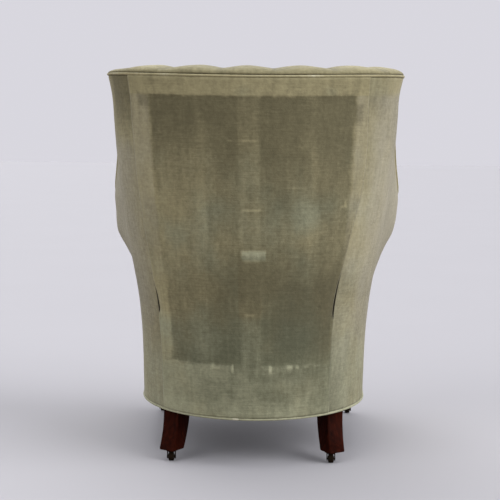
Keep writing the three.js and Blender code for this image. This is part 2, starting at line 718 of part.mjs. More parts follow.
// How full the buttoning is at a place: 1 on top of a lobe, less in a pleat and 0 at a button.
function fullness(share, drop) {
  const lobe = share * lobesPerSide;
  const row = Math.max((drop - topRowDrop) / rowSpacing, 0);
  const left = lobe - 0.5 + row / 2;
  const right = lobe - 0.5 - row / 2;
  const pillow = Math.sqrt(Math.abs(Math.sin(Math.PI * left) * Math.sin(Math.PI * right)));
  const near = (v) => Math.abs(v - Math.round(v));
  const above = Math.min((drop - topRowDrop) / rowSpacing, 0);
  const reach = Math.hypot(near(left), near(right), above) / buttonReachShare;
  const floor = (1 - pleatDepthShare) * (1 - Math.exp(-reach * reach));
  return lerp(floor, 1, pillow);
}

// The heights of the face of the inside upholstery under a height of the piping.
const padLevels = wallLevels.filter((level) => level > padFoot && level < crestHeight);
const rowCount = 9; // half rows from the top row of buttons down to the seat
const faceDrops = [0, topRowDrop / 2, ...stepsBetween(topRowDrop, topRowDrop + (rowSpacing / 2) * rowCount, rowCount)];
function faceHeights(rim) {
  const seatLevels = padLevels.filter((level) => level < tuftFadeLow);
  const tufted = faceDrops.map((drop) => Math.max(rim - drop, tuftFadeLow));
  return [padFoot, ...seatLevels, ...tufted.toReversed()];
}

// One upright section of the inside upholstery: up its face, over the crest and down its back.
function padRing(share) {
  const rim = rimHeight(share);
  const underCrest = rim + pipingRadius + fit;
  const crestFull = Math.abs(Math.cos(Math.PI * share * lobesPerSide));
  const face = faceHeights(rim).map((height) => {
    const fade = smoothstep(height, tuftFadeLow, tuftFadeHigh);
    const sink = buttonDepth * (1 - fullness(share, rim - height)) * fade;
    return wallPoint(share, height, faceInset(share, height) - sink);
  });
  const topInset = faceInset(share, rim) - buttonDepth * (1 - fullness(share, 0));
  const crest = crestShares.map(([inset, rise]) => {
    const base = lerp(underCrest, rim, inset);
    const full = crestRise - crestPleat * (1 - crestFull);
    return wallPoint(share, rim, topInset * inset).setZ(base + full * rise);
  });
  const back = [
    wallPoint(share, rim, padBack).setZ(underCrest),
    ...padLevels.toReversed().map((level) => wallPoint(share, Math.min(level, rim), padBack)),
    wallPoint(share, padFoot, padBack),
  ];
  return [...face, ...crest, ...back];
}

// The pads have a column half way along each facet of the wall too.
function pad(from, to) {
  const shares = stationsBetween(from, to);
  const columns = shares.flatMap((share, i) => (i > 0 ? [(shares[i - 1] + share) / 2, share] : [share]));
  return loft(columns.map(padRing), true);
}

const backEdge = backLobes / lobesPerSide;
add("inside_back", pad(-backEdge, backEdge), velvet);
for (const [name, side] of sides) {
  add(`inside_arm_${name}`, pad(side * (backEdge + jointShare), side), velvet);
}

// Arm facings: the end of each wall, cut to its profile, with piping round the edge.

const facingThickness = 9;
const facingFront = wallFront - fit - facingThickness;
const facingRows = 14;
const facingLow = floorGap + fit;
const facingPipingSteps = 32;
function facingOutline(edge) {
  const rim = rimHeight(1);
  const up = stepsBetween(facingLow, rim, facingRows).map((height) => {
    const p = wallPoint(1, height, edge);
    return new THREE.Vector2(p.x, height);
  });
  const half = armFace / 2 - edge;
  const middle = wallPoint(1, rim, armFace / 2).x;
  const over = stepsBetween(0, 1, 8).slice(1, -1).map((turn) => {
    const angle = turn * Math.PI;
    return new THREE.Vector2(middle + half * Math.cos(angle), rim + (crestRise - edge) * Math.sin(angle));
  });
  const down = stepsBetween(rim, facingLow, facingRows).map((height) => {
    const p = wallPoint(1, height, armFace - edge);
    return new THREE.Vector2(p.x, height);
  });
  return [...up, ...over, ...down];
}

function facing() {
  const shape = new THREE.Shape(facingOutline(0));
  const flat = new THREE.ExtrudeGeometry(shape, { depth: facingThickness, bevelEnabled: false });
  return closed(flat.rotateX(Math.PI / 2).translate(0, wallFront - fit, 0));
}

function facingPiping() {
  const y = facingFront - fit - pipingRadius;
  const line = facingOutline(pipingRadius).map((p) => new THREE.Vector3(p.x, y, p.y));
  return tube(line, pipingRadius, pipingSides, facingPipingSteps);
}

const mirrored = (geometry) => closed(geometry.clone().scale(-1, 1, 1));
for (const [name, side] of sides) {
  add(`arm_facing_${name}`, side > 0 ? facing() : mirrored(facing()), velvet);
  add(`facing_piping_${name}`, side > 0 ? facingPiping() : mirrored(facingPiping()), wornVelvet);
}

// Seat, sprung and crowned, and the border below its front edge

const seatGap = 1; // seat to the inside upholstery
const borderTop = seatUnderside - fit;
const borderThickness = 16;
const borderBow = 14; // how far the border and the seat bow out in the middle
const seatCrown = 50; // height of the crown above the seat's upright edge
const crownShares = [[0.02, 0.4], [0.06, 0.7], [0.2, 0.86], [0.45, 0.96], [0.75, 1]]; // drawn in, and risen

// A ring of the seat: along the inside upholstery from arm to arm, then back across the bowed front.
function seatRing(drawn, height) {
  const level = Math.min(height, tuftFadeLow);
  const front = wallFront - seatNose + borderBow;
  const wall = stationsBetween(-1, 1).map((share) => wallPoint(share, level, faceInset(share, level) + seatGap));
  const half = wall[wall.length - 1].x;
  const across = stepsBetween(half, -half, 8).map((x) => {
    const bow = borderBow * (1 - (x / half) * (x / half));
    return new THREE.Vector3(x, front - bow, height);
  });
  const middle = new THREE.Vector3(0, front / 2, height);
  return [...wall, ...across].map((p) => p.lerp(middle, drawn).setZ(height));
}

function seat() {
  const edge = wallLevels.filter((level) => level > seatUnderside && level < seatHeight - seatCrown);
  const crown = crownShares.map(([drawn, risen]) => seatRing(drawn, seatHeight - seatCrown * (1 - risen)));
  return loft([...[seatUnderside, ...edge].map((height) => seatRing(0, height)), ...crown]);
}
add("seat", seat(), velvet);

const borderSteps = 10;
function borderRing(height) {
  const half = wallPoint(1, height, armFace).x - seatGap;
  const outer = stepsBetween(half, -half, borderSteps).map((x) => {
    const bow = borderBow * (1 - (x / half) * (x / half));
    return new THREE.Vector3(x, facingFront - bow, height);
  });
  const inner = [-half, half].map((x) => new THREE.Vector3(x, facingFront + borderThickness, height));
  return [...outer, ...inner];
}
add("front_border", loft(stepsBetween(facingLow, borderTop, 4).map(borderRing)), velvet);

export default chair;
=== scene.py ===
import math
import bpy
import numpy as np
from mathutils import Matrix, Vector, noise


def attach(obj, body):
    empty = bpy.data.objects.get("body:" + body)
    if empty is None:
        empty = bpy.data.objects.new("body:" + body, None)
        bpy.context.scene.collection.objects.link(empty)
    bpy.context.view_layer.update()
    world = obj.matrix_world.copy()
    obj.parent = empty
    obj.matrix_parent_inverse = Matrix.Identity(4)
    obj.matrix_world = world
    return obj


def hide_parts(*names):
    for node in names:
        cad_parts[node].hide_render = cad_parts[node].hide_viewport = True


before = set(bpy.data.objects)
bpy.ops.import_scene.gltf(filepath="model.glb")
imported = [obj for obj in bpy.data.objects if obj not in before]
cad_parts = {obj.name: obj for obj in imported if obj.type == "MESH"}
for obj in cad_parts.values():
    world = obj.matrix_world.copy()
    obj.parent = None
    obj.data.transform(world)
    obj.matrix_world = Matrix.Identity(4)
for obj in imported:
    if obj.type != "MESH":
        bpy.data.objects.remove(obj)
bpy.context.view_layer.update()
mm = 0.001


# camera and light

photoView = {
    "azimuth": 181, "tilt": 5.46, "roll": 0.55, "distance": 3.279, "height": 0.831, "centre": 0.010,
    "lens": 88.13, "shift": -0.0092,
}


def placeCamera():
    data = bpy.data.cameras.new("photo_camera")
    data.sensor_width = 36
    data.lens = photoView["lens"]
    data.shift_x = photoView["shift"]
    camera = bpy.data.objects.new("photo_camera", data)
    turn, tilt, roll = (math.radians(photoView[k]) for k in ("azimuth", "tilt", "roll"))
    away = Vector((math.sin(turn), -math.cos(turn), 0)) * photoView["distance"]
    facing = Matrix.Rotation(turn, 4, "Z") @ Matrix.Rotation(math.pi / 2 - tilt, 4, "X")
    place = Matrix.Translation(away + Vector((0, photoView["centre"], photoView["height"])))
    camera.matrix_world = place @ facing @ Matrix.Rotation(roll, 4, "Z")
    bpy.context.collection.objects.link(camera)
    bpy.context.scene.camera = camera


lampSettings = {  # where each soft lamp stands, seen from the chair, and its strength
    "key": {"from": (-0.9, 0.35, 0.45), "strength": 2.4},
    "fill": {"from": (0.7, 0.6, 0.45), "strength": 0.9},
    "front": {"from": (0.3, -0.9, 0.55), "strength": 0.9},
    "top": {"from": (0, -0.15, 1), "strength": 1.0},
}
lampSpread = 50  # degrees, so that shadows are soft
worldLevel = 0.4
worldColour = (0.97, 0.98, 1.0)
backdropTone = (0.69, 0.68, 0.735)  # what the camera sees behind the chair


def placeLamps():
    for name, lamp in lampSettings.items():
        data = bpy.data.lights.new(name, "SUN")
        data.energy = lamp["strength"]
        data.angle = math.radians(lampSpread)
        light = bpy.data.objects.new(name, data)
        light.location = lamp["from"]
        light.rotation_euler = Vector(lamp["from"]).to_track_quat("Z", "Y").to_euler()
        bpy.context.collection.objects.link(light)


# shader maths


class Wire:  # an output socket; Python's operators on it add Math nodes
    def __init__(self, finish, socket):
        self.finish = finish
        self.socket = socket

    def maths(self, operation, *values):
        node = self.finish.node("ShaderNodeMath", {"operation": operation}, dict(enumerate(values)))
        return Wire(self.finish, node.outputs[0])

    def __add__(self, other):
        return self.maths("ADD", self, other)

    def __radd__(self, other):
        return self.maths("ADD", other, self)

    def __sub__(self, other):
        return self.maths("SUBTRACT", self, other)

    def __rsub__(self, other):
        return self.maths("SUBTRACT", other, self)

    def __mul__(self, other):
        return self.maths("MULTIPLY", self, other)

    def __rmul__(self, other):
        return self.maths("MULTIPLY", other, self)

    def larger(self, other):
        return self.maths("MAXIMUM", self, other)

    def between(self, low, high):  # 0 below low, 1 above high, smooth on the way
        settings = {"interpolation_type": "SMOOTHSTEP"}
        node = self.finish.node("ShaderNodeMapRange", settings, {"Value": self, "From Min": low, "From Max": high})
        return Wire(self.finish, node.outputs[0])


class Finish:  # the nodes of a material, or of the world
    def __init__(self, owner):
        self.owner = owner
        owner.use_nodes = True
        self.tree = owner.node_tree
        self.tree.nodes.clear()

    def place(self):
        return self.wire("ShaderNodeTexCoord", {}, {}, "Object")

    def seen(self):  # 1 for what the camera, a gloss or glass sees, 0 for the light that bounces
        path = self.node("ShaderNodeLightPath", {}, {})
        camera, gloss, glass = (Wire(self, path.outputs[f"Is {k} Ray"]) for k in ("Camera", "Glossy", "Transmission"))
        return camera.larger(gloss).larger(glass)

    def node(self, kind, settings, sockets):
        node = self.tree.nodes.new(kind)
        for key, value in settings.items():
            setattr(node, key, value)
        for key, value in sockets.items():
            if isinstance(value, Wire):
                self.tree.links.new(value.socket, node.inputs[key])
            else:
                node.inputs[key].default_value = value
        return node

    def wire(self, kind, settings, sockets, output=0):
        return Wire(self, self.node(kind, settings, sockets).outputs[output])

    def noise(self, scale, detail=2, stretch=(1, 1, 1), rough=0.55):
        where = self.place()
        if stretch != (1, 1, 1):
            where = self.wire("ShaderNodeMapping", {}, {"Vector": where, "Scale": stretch})
        sockets = {"Vector": where, "Scale": scale, "Detail": detail, "Roughness": rough}
        return self.wire("ShaderNodeTexNoise", {}, sockets)

    def attribute(self, name):
        return self.wire("ShaderNodeAttribute", {"attribute_name": name}, {}, "Fac")

    def mix(self, share, first, second):
        settings = {"data_type": "RGBA", "clamp_factor": True}
        return self.wire("ShaderNodeMix", settings, {0: share, 6: rgb(first), 7: rgb(second)}, 2)

    def scaled(self, colour, amount):
        return self.wire("ShaderNodeVectorMath", {"operation": "SCALE"}, {0: colour, "Scale": amount})

    def bump(self, height, distance):
        return self.wire("ShaderNodeBump", {}, {"Height": height, "Distance": distance})

    def surface(self, sockets):
        shader = self.wire("ShaderNodeBsdfPrincipled", {}, sockets)
        self.node("ShaderNodeOutputMaterial", {}, {"Surface": shader})
        return self.owner


def newFinish(name):
    return Finish(bpy.data.materials.new(name))


def rgb(colour):
    return colour if isinstance(colour, Wire) else (*colour, 1.0)


# finishes

velvetColours = {  # dark and pale pile: an old olive, the greyer green of what was out of the sun, and greyed cloth, which is dust on the back and painted sheen on the arms
    "deep": (0.150, 0.135, 0.080), "pale": (0.40, 0.357, 0.212),
    "greenDeep": (0.136, 0.139, 0.090), "greenPale": (0.38, 0.381, 0.262),
    "dustDeep": (0.152, 0.139, 0.100), "dustPale": (0.405, 0.376, 0.292),
    "thread": (0.56, 0.54, 0.42),  # bare ground where the pile is gone
    # near black, for real dirt and for painted shade in creases, slits, pleats and under piping
    "soil": (0.012, 0.010, 0.007),
}


velvetGrain = {  # scale, detail, stretch and roughness of each kind of unevenness
    "broad": (7, 3), "clouds": (16, 4, (1, 1, 0.7)), "patches": (30, 4, (1, 1, 0.7)), "crush": (110, 4),
    "pile": (800, 1), "streaks": (75, 3, (1, 1, 0.07)),
    "lines": (20, 3, (1, 1, 14), 0.7),  # the weave shows as fine level lines
}
velvetSheen = {
    "Specular IOR Level": 0.12, "Sheen Weight": 0.3, "Sheen Roughness": 0.4, "Sheen Tint": (0.86, 0.83, 0.74, 1),
}


def velvet(name, lift=1.0, pileBump=0.0009):
    finish = newFinish(name)
    broad, clouds, patches, crush, pile, streaks, lines = (finish.noise(*grain) for grain in velvetGrain.values())
    wear, green, dust, soil = (finish.attribute(k) for k in ("wear", "green", "dust", "soil"))
    weave = (lines - 0.5) * 0.36 + (streaks - 0.5) * 0.36
    worn = (wear + (patches - 0.5) * 0.42 + (crush - 0.5) * 0.3 + weave * 0.8).between(-0.15, 1.15)
    cool = (green + (clouds - 0.5) * 0.9 + (crush - 0.5) * 0.3).between(0, 1)
    # greyed where the points' dust number says: real dust, and painted sheen on the arms
    dusty = (dust + (clouds - 0.5) * 0.5).between(0, 1)
    deep = finish.mix(cool, velvetColours["deep"], velvetColours["greenDeep"])
    pale = finish.mix(cool, velvetColours["pale"], velvetColours["greenPale"])
    deep = finish.mix(dusty, deep, velvetColours["dustDeep"])
    pale = finish.mix(dusty, pale, velvetColours["dustPale"])
    colour = finish.mix(worn, deep, pale)
    bald = (wear + (crush - 0.5) * 0.6 + weave).between(1.1, 1.7)
    colour = finish.mix(bald, colour, velvetColours["thread"])
    level = 1 + (broad - 0.5) * 0.3 + (crush - 0.5) * 0.36 + (pile - 0.5) * 0.3 + weave * 0.55
    colour = finish.scaled(colour, level * lift)
    # darkened towards near black by the points' soil number: painted shade in creases, slits and pleats, and real
    # dirt
    colour = finish.mix((soil + (patches - 0.5) * 0.15).between(0.08, 1.05), colour, velvetColours["soil"])
    height = pile * 0.5 + crush * 1.1 + patches * 1.2 + lines * 0.6
    return finish.surface({
        "Base Color": colour, "Roughness": 0.93 - bald * 0.08, **velvetSheen, "Normal": finish.bump(height, pileBump),
    })


mahoganyColours = {"dark": (0.0065, 0.0015, 0.0010), "red": (0.040, 0.0066, 0.0030), "scuff": (0.085, 0.022, 0.009)}


def mahogany():
    finish = newFinish("mahogany")
    rings = finish.noise(9, 3, (1, 1, 0.12))
    grain = finish.noise(150, 4, (1, 1, 0.06))
    scuffs = finish.noise(60, 4)
    pores = finish.noise(700, 1, (1, 1, 0.05))
    share = (rings * 0.6 + grain * 0.5).between(0.3, 0.8)
    colour = finish.mix(share, mahoganyColours["dark"], mahoganyColours["red"])
    colour = finish.mix((scuffs * grain).between(0.36, 0.55) * 0.35, colour, mahoganyColours["scuff"])
    return finish.surface({
        "Base Color": colour, "Roughness": 0.42 + scuffs * 0.2, "Specular IOR Level": 0.012,
        "Coat Weight": 0.005, "Coat Roughness": 0.2, "Normal": finish.bump(grain + pores * 0.7, 0.0003),
    })


ironColours = {  # the metal, its rust, and how metallic it looks
    "castor_iron": ((0.013, 0.009, 0.005), (0.030, 0.014, 0.006), 0.12),
    "castor_wheel": ((0.011, 0.007, 0.004), (0.024, 0.014, 0.008), 0.02),
    "spring_wire": ((0.16, 0.12, 0.09), (0.14, 0.055, 0.025), 0.8),
}


def oldIron(name):
    finish = newFinish(name)
    colour, rust, metal = ironColours[name]
    spots = finish.noise(300, 4)
    broad = finish.noise(60, 2)
    rusty = (spots * 0.6 + broad * 0.5).between(0.52, 0.72)
    return finish.surface({
        "Base Color": finish.mix(rusty, colour, rust), "Metallic": metal - rusty * metal,
        "Roughness": 0.6 + rusty * 0.3, "Specular IOR Level": 0.03, "Normal": finish.bump(spots, 0.0002),
    })


beechColours = {"dark": (0.42, 0.26, 0.13), "light": (0.56, 0.38, 0.2)}


def beechWood():
    finish = newFinish("beech")
    rings = finish.noise(14, 2, (1, 1, 0.08))
    flecks = finish.noise(260, 2, (1, 1, 0.25))
    share = (rings + (flecks - 0.5) * 0.5).between(0.3, 0.75)
    colour = finish.mix(share, beechColours["dark"], beechColours["light"])
    return finish.surface({
        "Base Color": colour, "Roughness": 0.6 + flecks * 0.2, "Normal": finish.bump(flecks, 0.0002),
    })


clothColours = {  # dark and light threads, and how fine they are
    "jute": ((0.20, 0.13, 0.06), (0.42, 0.31, 0.17), 160),
    "black_linen": ((0.008, 0.008, 0.007), (0.035, 0.033, 0.03), 260),
}


def wovenCloth(name):
    finish = newFinish(name)
    dark, light, threads = clothColours[name]
    settings = {"wave_type": "BANDS", "wave_profile": "SIN"}
    sockets = {"Vector": finish.place(), "Scale": threads, "Distortion": 0.4, "Detail": 1.0}
    warp = finish.wire("ShaderNodeTexWave", {**settings, "bands_direction": "X"}, sockets, 1)
    weft = finish.wire("ShaderNodeTexWave", {**settings, "bands_direction": "Y"}, sockets, 1)
    slubs = finish.noise(90, 3)
    weave = warp * 0.5 + weft * 0.5
    colour = finish.mix((weave * 0.6 + slubs * 0.6).between(0.25, 0.95), dark, light)
    return finish.surface({
        "Base Color": colour, "Roughness": 0.88 + slubs * 0.1, "Normal": finish.bump(weave + slubs, 0.0004),
    })


floorSettings = {"size": 60, "colour": (0.496, 0.487, 0.523), "bounce": (0.22, 0.19, 0.165)}


def plainStage():  # pale to the eye, a darker floor for the light that bounces off it
    finish = newFinish("pale_floor")
    tone = finish.noise(1.5, 2)
    pale = finish.scaled(floorSettings["colour"], 0.985 + tone * 0.03)
    colour = finish.mix(finish.seen(), floorSettings["bounce"], pale)
    return finish.surface({
        "Base Color": colour, "Roughness": 0.8, "Specular IOR Level": 0.1, "Normal": finish.bump(tone, 0.0005),
    })


def lightWorld():
    world = bpy.data.worlds.new("studio")
    bpy.context.scene.world = world
    finish = Finish(world)
    light = finish.wire("ShaderNodeBackground", {}, {"Color": rgb(worldColour), "Strength": worldLevel})
    backdrop = finish.wire("ShaderNodeBackground", {}, {"Color": rgb(backdropTone), "Strength": 1.0})
    both = finish.wire("ShaderNodeMixShader", {}, {0: finish.seen(), 1: light, 2: backdrop})
    finish.node("ShaderNodeOutputWorld", {}, {"Surface": both})


placeCamera()
placeLamps()
lightWorld()
bpy.context.scene.view_settings.view_transform = "Standard"
finishes = {
    "outside": velvet("velvet_outside"),
    "inside": velvet("velvet_inside", 1.1, 0.0012),
    "piping": velvet("velvet_piping", 1.05, 0.0006),
    "mahogany": mahogany(),
    "iron": oldIron("castor_iron"),
    "wheel": oldIron("castor_wheel"),
    "spring": oldIron("spring_wire"),
    "beech": beechWood(),
    "jute": wovenCloth("jute"),
    "linen": wovenCloth("black_linen"),
}
print("camera, lamps and finishes are set")


# lines of the walls, in millimetres

body = {
    "floorGap": 122.5, "crest": 964, "cornerRise": 14, "arm": 656, "wingEnd": 0.75, "baseHalf": 298,
    "baseFrontHalf": 312, "baseDepth": 330, "crestHalf": 382, "crestDepth": 300, "armHalf": 404.5, "armTuck": 12,
    "tuckFrom": 0.66, "rake": 75, "backFoot": 316, "wallFront": -349, "corner": 0.56, "post": 0.30,
    "backFace": 116, "armFace": 99, "lumbar": 12, "lumbarHeight": 590, "lumbarReach": 210, "padBack": 33.4,
    "piping": 2.6,
}
bothSides = {"left": 1, "right": -1}  # the sitter's left and right
backLean = [(0, 0), (0.45, 0.37), (0.85, 0.77), (0.95, 0.9), (1, 1)]
cornerFlare = [
    (0, 0), (0.17, 0.03), (0.25, 0.07), (0.33, 0.15), (0.445, 0.35), (0.56, 0.55), (0.66, 0.69), (0.73, 0.755),
    (0.86, 0.82), (0.93, 0.875), (1, 1),
]
armFlare = [
    (0, 0), (0.15, 0), (0.275, 0.04), (0.405, 0.13), (0.54, 0.305), (0.67, 0.54), (0.735, 0.69), (0.8, 0.865),
    (0.865, 0.95), (0.93, 0.985), (1, 1), (1.2, 0.9), (1.45, 0.83), (1.65, 0.82),
]


def clamp(value, low=0.0, high=1.0):
    return min(max(value, low), high)


def lerp(a, b, t):
    return a + (b - a) * t


def smooth(value, low, high):
    t = clamp((value - low) / (high - low))
    return t * t * (3 - 2 * t)


def through(points, place):  # smooth line through (place, value) points
    last = len(points) - 1
    if place <= points[0][0]:
        return points[0][1]
    if place >= points[last][0]:
        return points[last][1]
    k = next(i for i in range(1, last + 1) if place <= points[i][0]) - 1

    def slope(i):
        a, b = points[max(i - 1, 0)], points[min(i + 1, last)]
        return (b[1] - a[1]) / (b[0] - a[0])
    run = points[k + 1][0] - points[k][0]
    t = (place - points[k][0]) / run
    bend = run * t * (1 - t) * (slope(k) * (1 - t) - slope(k + 1) * t)
    return lerp(points[k][1], points[k + 1][1], t * t * (3 - 2 * t)) + bend


def wallPoint(share, height, inset):  # share 0 is the middle of the back, 1 and -1 the ends of the arms
    side, run = (-1 if share < 0 else 1), abs(share)
    rise = (height - body["floorGap"]) / (body["crest"] + body["cornerRise"] - body["floorGap"])
    lean = through(backLean, rise)
    halfWidth = lerp(body["baseHalf"], body["crestHalf"], through(cornerFlare, rise))
    depth = lerp(body["baseDepth"], body["crestDepth"], lean)
    cornerY = body["backFoot"] + body["rake"] * lean - depth
    if run <= body["corner"]:
        turn = run / body["corner"] * math.pi / 2
        ax, ay = math.sin(turn) / halfWidth, math.cos(turn) / depth
        size = math.hypot(ax, ay)
        x = halfWidth * math.sin(turn) - inset * ax / size
        return (side * x, cornerY + depth * math.cos(turn) - inset * ay / size, height)
    along = (run - body["corner"]) / (1 - body["corner"])
    swell = through(armFlare, (height - body["floorGap"]) / (body["arm"] - body["floorGap"]))
    frontWidth = lerp(body["baseFrontHalf"], body["armHalf"], swell)
    spread = lerp(along, smooth(along, 0, body["tuckFrom"]), clamp(swell))
    tuck = body["armTuck"] * swell * smooth(along, body["tuckFrom"], 1)
    x = lerp(halfWidth, frontWidth, spread) - tuck - inset
    return (side * x, lerp(cornerY, body["wallFront"], along), height)


def rimHeight(share):
    run = abs(share)
    top = body["crest"] + body["cornerRise"] * smooth(run, 0, body["corner"])
    return lerp(top, body["arm"], smooth((run - body["corner"]) / (1 - body["corner"]), 0, body["wingEnd"]))


def faceInset(share, height):
    lumbar = body["lumbar"] * (1 - smooth(abs(height - body["lumbarHeight"]), 0, body["lumbarReach"]))
    return lerp(body["backFace"] + lumbar, body["armFace"], smooth(abs(share), 0.25, 0.75))


def steps(low, high, count):
    return [lerp(low, high, i / count) for i in range(count + 1)]


def ripple(point, scale, seed=0.0):  # smooth unevenness, from -1 to 1
    return noise.noise(Vector((point[0] * scale + seed, point[1] * scale, point[2] * scale)))


# meshes and modifiers


def clearSelection():
    if bpy.context.object and bpy.context.object.mode != "OBJECT":
        bpy.ops.object.mode_set(mode="OBJECT")
    bpy.ops.object.select_all(action="DESELECT")


def pick(*pieces):
    clearSelection()
    for piece in pieces:
        piece.select_set(True)
    bpy.context.view_layer.objects.active = pieces[0]


def gridPiece(name, rows, values=None, wrap=False, caps=False):
    # rows of points in millimetres; values holds one list of numbers for each named attribute
    count = len(rows[0])
    points = [tuple(c * mm for c in p) for row in rows for p in row]
    faces = []
    for r in range(len(rows) - 1):
        for i in range(count if wrap else count - 1):
            a, b = r * count + i, r * count + (i + 1) % count
            faces.append((a, b, b + count, a + count))
    if caps:
        faces.append(tuple(reversed(range(count))))
        faces.append(tuple(range((len(rows) - 1) * count, len(rows) * count)))
    data = bpy.data.meshes.new(name)
    data.from_pydata(points, [], faces)
    for key, numbers in (values or {}).items():
        layer = data.attributes.new(key, "FLOAT", "POINT")
        layer.data.foreach_set("value", [n for row in numbers for n in row])
    piece = bpy.data.objects.new(name, data)
    bpy.context.collection.objects.link(piece)
    return piece


def applied(piece, kind, **settings):
    pick(piece)
    modifier = piece.modifiers.new(kind, kind)
    for key, value in settings.items():
        setattr(modifier, key, value)
    bpy.ops.object.modifier_apply(modifier=modifier.name)
    return piece


def outwards(piece, merge=0.00005):  # merged points and faces turned out, for a closed piece
    pick(piece)
    bpy.ops.object.mode_set(mode="EDIT")
    bpy.ops.mesh.select_all(action="SELECT")
    bpy.ops.mesh.remove_doubles(threshold=merge)
    bpy.ops.mesh.normals_make_consistent(inside=False)
    bpy.ops.object.mode_set(mode="OBJECT")
    return piece


def smoothShaded(piece, angle=None):
    pick(piece)
    if angle is None:
        bpy.ops.object.shade_smooth()
    else:
        bpy.ops.object.shade_smooth_by_angle(angle=math.radians(angle))
    return piece


def paint(piece, **makers):  # numbers on the points of a finished mesh, from their place in millimetres
    points = [v.co / mm for v in piece.data.vertices]
    for key, maker in makers.items():
        layer = piece.data.attributes.get(key) or piece.data.attributes.new(key, "FLOAT", "POINT")
        layer.data.foreach_set("value", [maker(p) for p in points])
    return piece


def dress(piece, finish, ride="chair", stands=()):
    piece.data.materials.clear()
    piece.data.materials.append(finishes[finish])
    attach(piece, ride)
    if stands:
        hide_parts(*stands)
    return piece


def joined(name, pieces):
    pick(*pieces)
    if len(pieces) > 1:
        bpy.ops.object.join()
    piece = bpy.context.view_layer.objects.active
    piece.name = piece.data.name = name
    return piece


def copied(piece, name, move):
    copy = piece.copy()
    copy.data = piece.data.copy()
    copy.name = copy.data.name = name
    copy.data.transform(move)
    bpy.context.collection.objects.link(copy)
    return copy


def flatBall(segments, rings, radius, flat):  # a ball pressed flat, at the origin
    clearSelection()
    bpy.ops.mesh.primitive_uv_sphere_add(segments=segments, ring_count=rings, radius=radius * mm)
    piece = bpy.context.object
    bpy.ops.object.mode_set(mode="EDIT")
    bpy.ops.mesh.select_all(action="SELECT")
    bpy.ops.transform.resize(value=(1, 1, flat), center_override=(0, 0, 0))
    bpy.ops.object.mode_set(mode="OBJECT")
    return piece


def scattered(pattern, name, moves):  # one piece of many copies
    copies = [copied(pattern, "copy", move) for move in moves]
    bpy.data.objects.remove(pattern)
    return smoothShaded(joined(name, copies), 50)


# outside covers

cover = {
    "cell": 4.5, "thickness": 1.6, "low": 127.8, "gap": 0.6, "groove": 0.7, "armGroove": 0.5, "grooveReach": 4,
    "hollow": 1.4, "lap": 9, "rollTop": 1.6, "rollLow": 1.2, "perShare": 830, "back": (620, 835), "arm": (610, 820),
    "nearRim": 940,
}
frameMarks = {  # where the frame shows through: the slat's middle from foot to crest, the inner edge of a post
    "slat": (-3, 15), "slatHalf": (21, 30), "sideSlat": 132, "post": (0.248, 0.258), "leftPost": 0.007,
    "rail": 47, "base": 260,
}
seams = {  # place of each upright seam at heights: 1 on the sitter's left, -1 on the right
    1: [
        (128, 0.305), (300, 0.312), (400, 0.318), (560, 0.327), (711, 0.337), (806, 0.3425), (882, 0.348),
        (970, 0.344),
    ],
    -1: [
        (128, 0.255), (380, 0.258), (446, 0.261), (496, 0.267), (600, 0.285), (702, 0.305), (794, 0.312),
        (902, 0.306), (970, 0.298),
    ],
}
slits = {1: {"low": 366, "high": 468, "open": 5.4}, -1: {"low": 360, "high": 505, "open": 4.8}}


def seamAt(side, height):
    return through(seams[side], height)


def fromSeam(share, height):  # millimetres from the nearer seam, below 0 on the back
    side = -1 if share < 0 else 1
    return (abs(share) - seamAt(side, height)) * cover["perShare"]


def slitAt(side, height):  # how far the seam has come open, most of all near its lower end
    slit = slits[side]
    rise = (height - slit["low"]) / (slit["high"] - slit["low"])
    return slit["open"] * smooth(rise, 0, 0.2) * (1 - smooth(rise, 0.35, 1)) ** 0.7


def band(value, low, high, soft):  # 1 between low and high, with soft edges
    return smooth(value, low - soft, low + soft) * (1 - smooth(value, high - soft, high + soft))


def spot(x, z, place, reach):
    return max(1 - math.hypot((x - place[0]) / reach[0], (z - place[1]) / reach[1]), 0)


def slatMiddle(z):
    return lerp(*frameMarks["slat"], (z - 126) / 838)


def postEdge(share, z):  # inner edge of a back post under the cover
    return lerp(*frameMarks["post"], clamp((z - 285) / 600)) + (frameMarks["leftPost"] if share > 0 else 0)


def ragged(x, z, seed):
    return ripple((x, 0, z), 0.05, seed) + 0.6 * ripple((x, 0, z), 0.16, seed + 2)


def railMark(share, x, z):
    below = rimHeight(share) - z
    return 1 - smooth(below + 2.5 * ragged(x, z, 4), frameMarks["rail"] - 3, frameMarks["rail"] + 3)


def baseMark(x, z):
    return 1 - smooth(z + 4 * ragged(x, 0, 9), frameMarks["base"] - 5, frameMarks["base"] + 7)


def postMark(share, x, z):
    edge = postEdge(share, z)
    return smooth(abs(share) + 0.005 * ragged(x, z * 0.5, 6), edge - 0.008, edge + 0.014)


def slatMark(x, z):
    return 1 - smooth(abs(x - slatMiddle(z)) + 3 * ragged(x, z, 3), *frameMarks["slatHalf"])


def imprint(share, x, z):  # how far the frame stands out through the cover
    side = 0.35 * (1 - smooth(abs(abs(x) - frameMarks["sideSlat"]), 10, 22))
    return max(railMark(share, x, z), postMark(share, x, z), slatMark(x, z), side, baseMark(x, z))


paleMarks = [  # threadbare spots: x, z, half width, half height and strength
    (46, 254, 3.5, 15, 1.0), (95, 258, 4, 9, 0.4), (-46, 253, 4.5, 12, 1.0), (-94, 256, 10, 9, 0.75),
    (-113, 255, 6, 6, 0.5), (-136, 256, 9, 5, 0.35), (-160, 256, 10, 4, 0.25), (84, 254, 9, 5, 0.25),
    (12, 811, 26, 3, 0.42), (0, 646, 32, 3, 0.5), (-222, 655, 12, 3, 0.55), (-226, 662, 4, 8, 0.5),
    (4, 388, 20, 3, 0.25), (56, 812, 10, 2.5, 0.25), (-100, 700, 24, 2.5, 0.22), (-108, 800, 9, 2.5, 0.22),
    (2, 522, 28, 6, 0.16),
]


def palePatch(x, z):  # a square of paler pile
    return band(x, -33, 26, 3) * band(z, 524, 547, 3)


